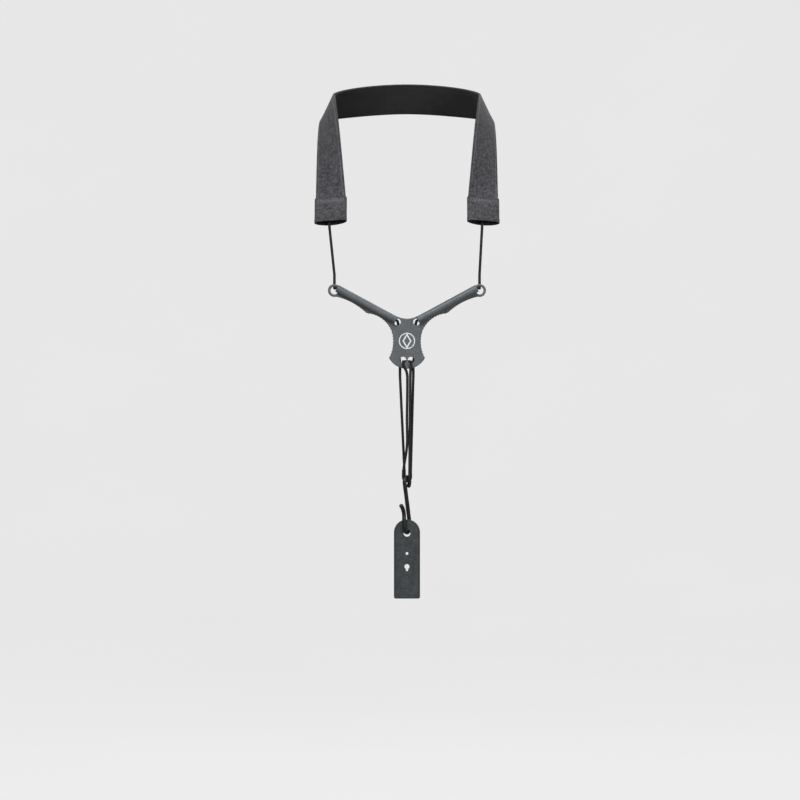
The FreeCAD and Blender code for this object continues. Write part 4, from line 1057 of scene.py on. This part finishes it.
def remeshed_copy(name, node, voxel, rounds):
    """A fine, evenly meshed and softened copy of a CAD node's shape."""
    rough = new_piece(name + "_rough", frame["nodes"][node].data.copy())
    remesh = rough.modifiers.new("remesh", "REMESH")
    remesh.mode = "VOXEL"
    remesh.voxel_size = voxel
    soften = rough.modifiers.new("soften", "SMOOTH")
    soften.factor = 0.5
    soften.iterations = rounds
    ready = rough.evaluated_get(bpy.context.evaluated_depsgraph_get())
    mesh = bpy.data.meshes.new_from_object(ready)
    bpy.data.objects.remove(rough)
    mesh.polygons.foreach_set("use_smooth", [True] * len(mesh.polygons))
    mesh.name = name
    return new_piece(name, mesh)


def vertex_array(mesh, key):
    values = np.empty(len(mesh.vertices) * 3)
    mesh.vertices.foreach_get(key, values)
    return values.reshape(-1, 3)


def swell(mesh, distance):
    """Moves every point out along its normal."""
    points = vertex_array(mesh, "co") + vertex_array(mesh, "normal") * distance
    mesh.vertices.foreach_set("co", points.ravel())
    mesh.update()


def build_yoke():
    yoke = remeshed_copy("yoke_moulding", "yoke", YOKE_VOXEL, 3)
    swell(yoke.data, YOKE_SWELL)
    riding_piece(yoke, YOKE, "yoke", "yoke")


def arc_points(centre, radius, start, end, count):
    turns = np.radians(np.linspace(start, end, count))
    return [(centre[0] + radius * math.cos(turn), centre[1] + radius * math.sin(turn)) for turn in turns]


def hook_line():
    """The hook's centre line in its own plane, from the tip round the bend and up round the eye."""
    bend_z = HOOK_BEND - COATING_RADIUS
    cross = math.degrees(math.asin((HOOK_BEND + EYE_RADIUS) / (EYE_Z - bend_z)))
    flare = math.radians(FLARE_ANGLE)
    flare_x = -HOOK_BEND - FLARE_RADIUS
    flare_end = (flare_x + FLARE_RADIUS * math.cos(flare), LEG_TOP + FLARE_RADIUS * math.sin(flare))
    tip = (flare_end[0] - TIP_LENGTH * math.sin(flare), flare_end[1] + TIP_LENGTH * math.cos(flare))
    points = [tip]
    points += arc_points((flare_x, LEG_TOP), FLARE_RADIUS, FLARE_ANGLE, 0, 24)
    points += arc_points((0, bend_z), HOOK_BEND, 180, 360 + cross, 60)
    points += arc_points((0, EYE_Z), EYE_RADIUS, 180 + cross, -EYE_WRAP, 80)
    along, _ = hook_directions()
    return np.array([along * x + array(0, 0, z) for x, z in points])


def build_hook():
    """Dip-coated hook: slightly uneven coating, fuller at its round ends."""
    line, distances = evenly_spaced(hook_line(), 0.00022)
    to_end = np.minimum(distances, distances[-1] - distances)
    round_part = np.clip(1 - to_end / (COATING_RADIUS * 0.9), 0, 0.985)
    radii = COATING_RADIUS * np.sqrt(1 - round_part ** 2)
    uneven = 0.00003 * np.sin(distances / 0.0031) + 0.00002 * np.sin(distances / 0.00117 + 1.3)
    full = 0.00006 * np.exp(-((to_end - 0.0018) / 0.0012) ** 2)
    mesh = swept_tube("hook_coating_skin", line, distances, radii + (uneven + full) * (to_end > 0.0004), 36)
    riding_piece(new_piece("hook_coating_skin", mesh), COATING, "hook", "hook_coating")


def tab_edge_distance(x, z):
    """Distance inside the tab's outline, away from its corners."""
    round_part = TAB_HALF - np.hypot(x, z - TAB_ARC_Z)
    straight = np.minimum(TAB_HALF - np.abs(x), z - TAB_BOTTOM)
    return np.where(z > TAB_ARC_Z, round_part, straight)


def press(depth, distance, width):
    """Depth of a pressed line at a distance from its middle."""
    return depth * np.exp(-(distance / width) ** 2)


def build_tab():
    """Leather tab: crease along the edge, a pressed plain lozenge, grain and a slight curl."""
    tab = remeshed_copy("leather_tab_hide", "leather_tab", TAB_VOXEL, 5)
    points = vertex_array(tab.data, "co")
    x, y, z = points.T.copy()
    face = np.sign(y) * np.clip(np.abs(y) / 0.0007, 0, 1) ** 2
    inside = tab_edge_distance(x, z)
    groove = press(CREASE_DEPTH, inside - CREASE_INSET, 0.00035)
    lozenge = np.abs(x) / MARK_HALF[0] + np.abs(z - MARK_Z) / MARK_HALF[1]
    groove = groove + press(MARK_DEPTH, (lozenge - 1) * MARK_SLANT, 0.00045) * (y < 0)
    groove = groove + press(MARK_DEPTH * 0.7, (lozenge - 0.55) * MARK_SLANT, 0.0004) * (y < 0)
    crown = 0.00012 * np.clip(inside / 0.004, 0, 1)
    ripple_x = np.sin(x / 0.00041 + 2 * np.sin(z / 0.0007))
    ripple_z = np.sin(z / 0.00047 + 2 * np.sin(x / 0.0008))
    grain = 0.00003 * ripple_x * ripple_z
    curl = TAB_CURL * ((z - TAB_ARC_Z) / (TAB_BOTTOM - TAB_ARC_Z)).clip(0, 1) ** 2
    cup = TAB_CUP * (x / TAB_HALF) ** 2 * (z / TAB_BOTTOM).clip(0, 1)
    points[:, 1] = y + face * (crown + grain - groove) - curl + cup
    tab.data.vertices.foreach_set("co", points.ravel())
    tab.data.update()
    riding_piece(tab, LEATHER, "tab", "leather_tab")


def dress_cad_nodes():
    """Materials for the CAD nodes that stay as they are."""
    for node, material in (("yoke_emblem", EMBLEM), ("hook_wire", WIRE)):
        mesh = frame["nodes"][node].data
        mesh.materials.clear()
        mesh.materials.append(material)


# ---- surroundings

def build_backdrop():
    """A pale floor that sweeps up into a wall all round, so that no horizon shows."""
    floor_z = CAD_BOX[0][2] - 0.30
    flat, curve = 5.0, 3.0
    profile = [(0.5, 0.0), (2.0, 0.0), (flat, 0.0)]
    profile += [(flat + curve * math.sin(turn), curve * (1 - math.cos(turn)))
                for turn in np.linspace(0.1, math.pi / 2, 14)]
    profile += [(flat + curve, 8.0)]
    angles = np.linspace(0, 2 * math.pi, 96, endpoint=False)
    rings = [[(radius * math.cos(a), radius * math.sin(a), floor_z + height) for a in angles]
             for radius, height in profile]
    points = np.array(rings)
    mesh = grid_mesh("backdrop", points, np.arange(len(rings), dtype=float), angles)
    backdrop = new_piece("backdrop", mesh)
    backdrop.data.materials.append(make_backdrop())


def add_light(name, place, target, size, power):
    light = bpy.data.lights.new(name, "AREA")
    light.shape = "DISK"
    light.size = size
    light.energy = power
    holder = bpy.data.objects.new(name, light)
    holder.location = place
    holder.rotation_mode = "QUATERNION"
    holder.rotation_quaternion = (Vector(target) - Vector(place)).to_track_quat("-Z", "Y")
    bpy.context.scene.collection.objects.link(holder)


def light_scene():
    """Soft studio light: a large key from above and the left, a fill, and an even pale world."""
    world = bpy.data.worlds.new("studio")
    world.use_nodes = True
    world.node_tree.nodes["Background"].inputs["Color"].default_value = (1.0, 1.0, 1.0, 1.0)
    world.node_tree.nodes["Background"].inputs["Strength"].default_value = 0.35
    bpy.context.scene.world = world
    middle = (0.0, 0.05, 0.2)
    add_light("key", (-0.5, -1.7, 2.3), middle, 1.3, 62.0)
    add_light("fill", (1.5, -1.9, 0.5), middle, 1.4, 14.0)
    add_light("rim", (0.5, 1.5, 1.9), middle, 1.0, 18.0)


def place_camera():
    """Level camera straight in front."""
    camera = bpy.data.cameras.new("camera")
    camera.sensor_width = SENSOR
    camera.lens = SENSOR * VIEW_DISTANCE / FRAME_WIDTH
    holder = bpy.data.objects.new("camera", camera)
    holder.location = Vector(VIEW_CENTRE) + Vector((0, -VIEW_DISTANCE, 0))
    holder.rotation_euler = (math.pi / 2, 0, 0)
    bpy.context.scene.collection.objects.link(holder)
    bpy.context.scene.camera = holder


def build_all():
    frames, distances = band_frames()
    build_webbing(frames, distances)
    build_lining(frames, distances)
    build_edge_stitches(frames, distances)
    for side_name, side in (("left", -1), ("right", 1)):
        build_sleeve("end_sleeve_" + side_name, side)
        build_sleeve_stitches("sleeve_stitches_" + side_name, side)
        build_side(side_name, side)
    build_bridge()
    build_drops()
    build_yoke()
    build_hook()
    build_tab()
    dress_cad_nodes()


build_all()
build_backdrop()
light_scene()
place_camera()
bpy.context.scene.view_settings.view_transform = "Standard"
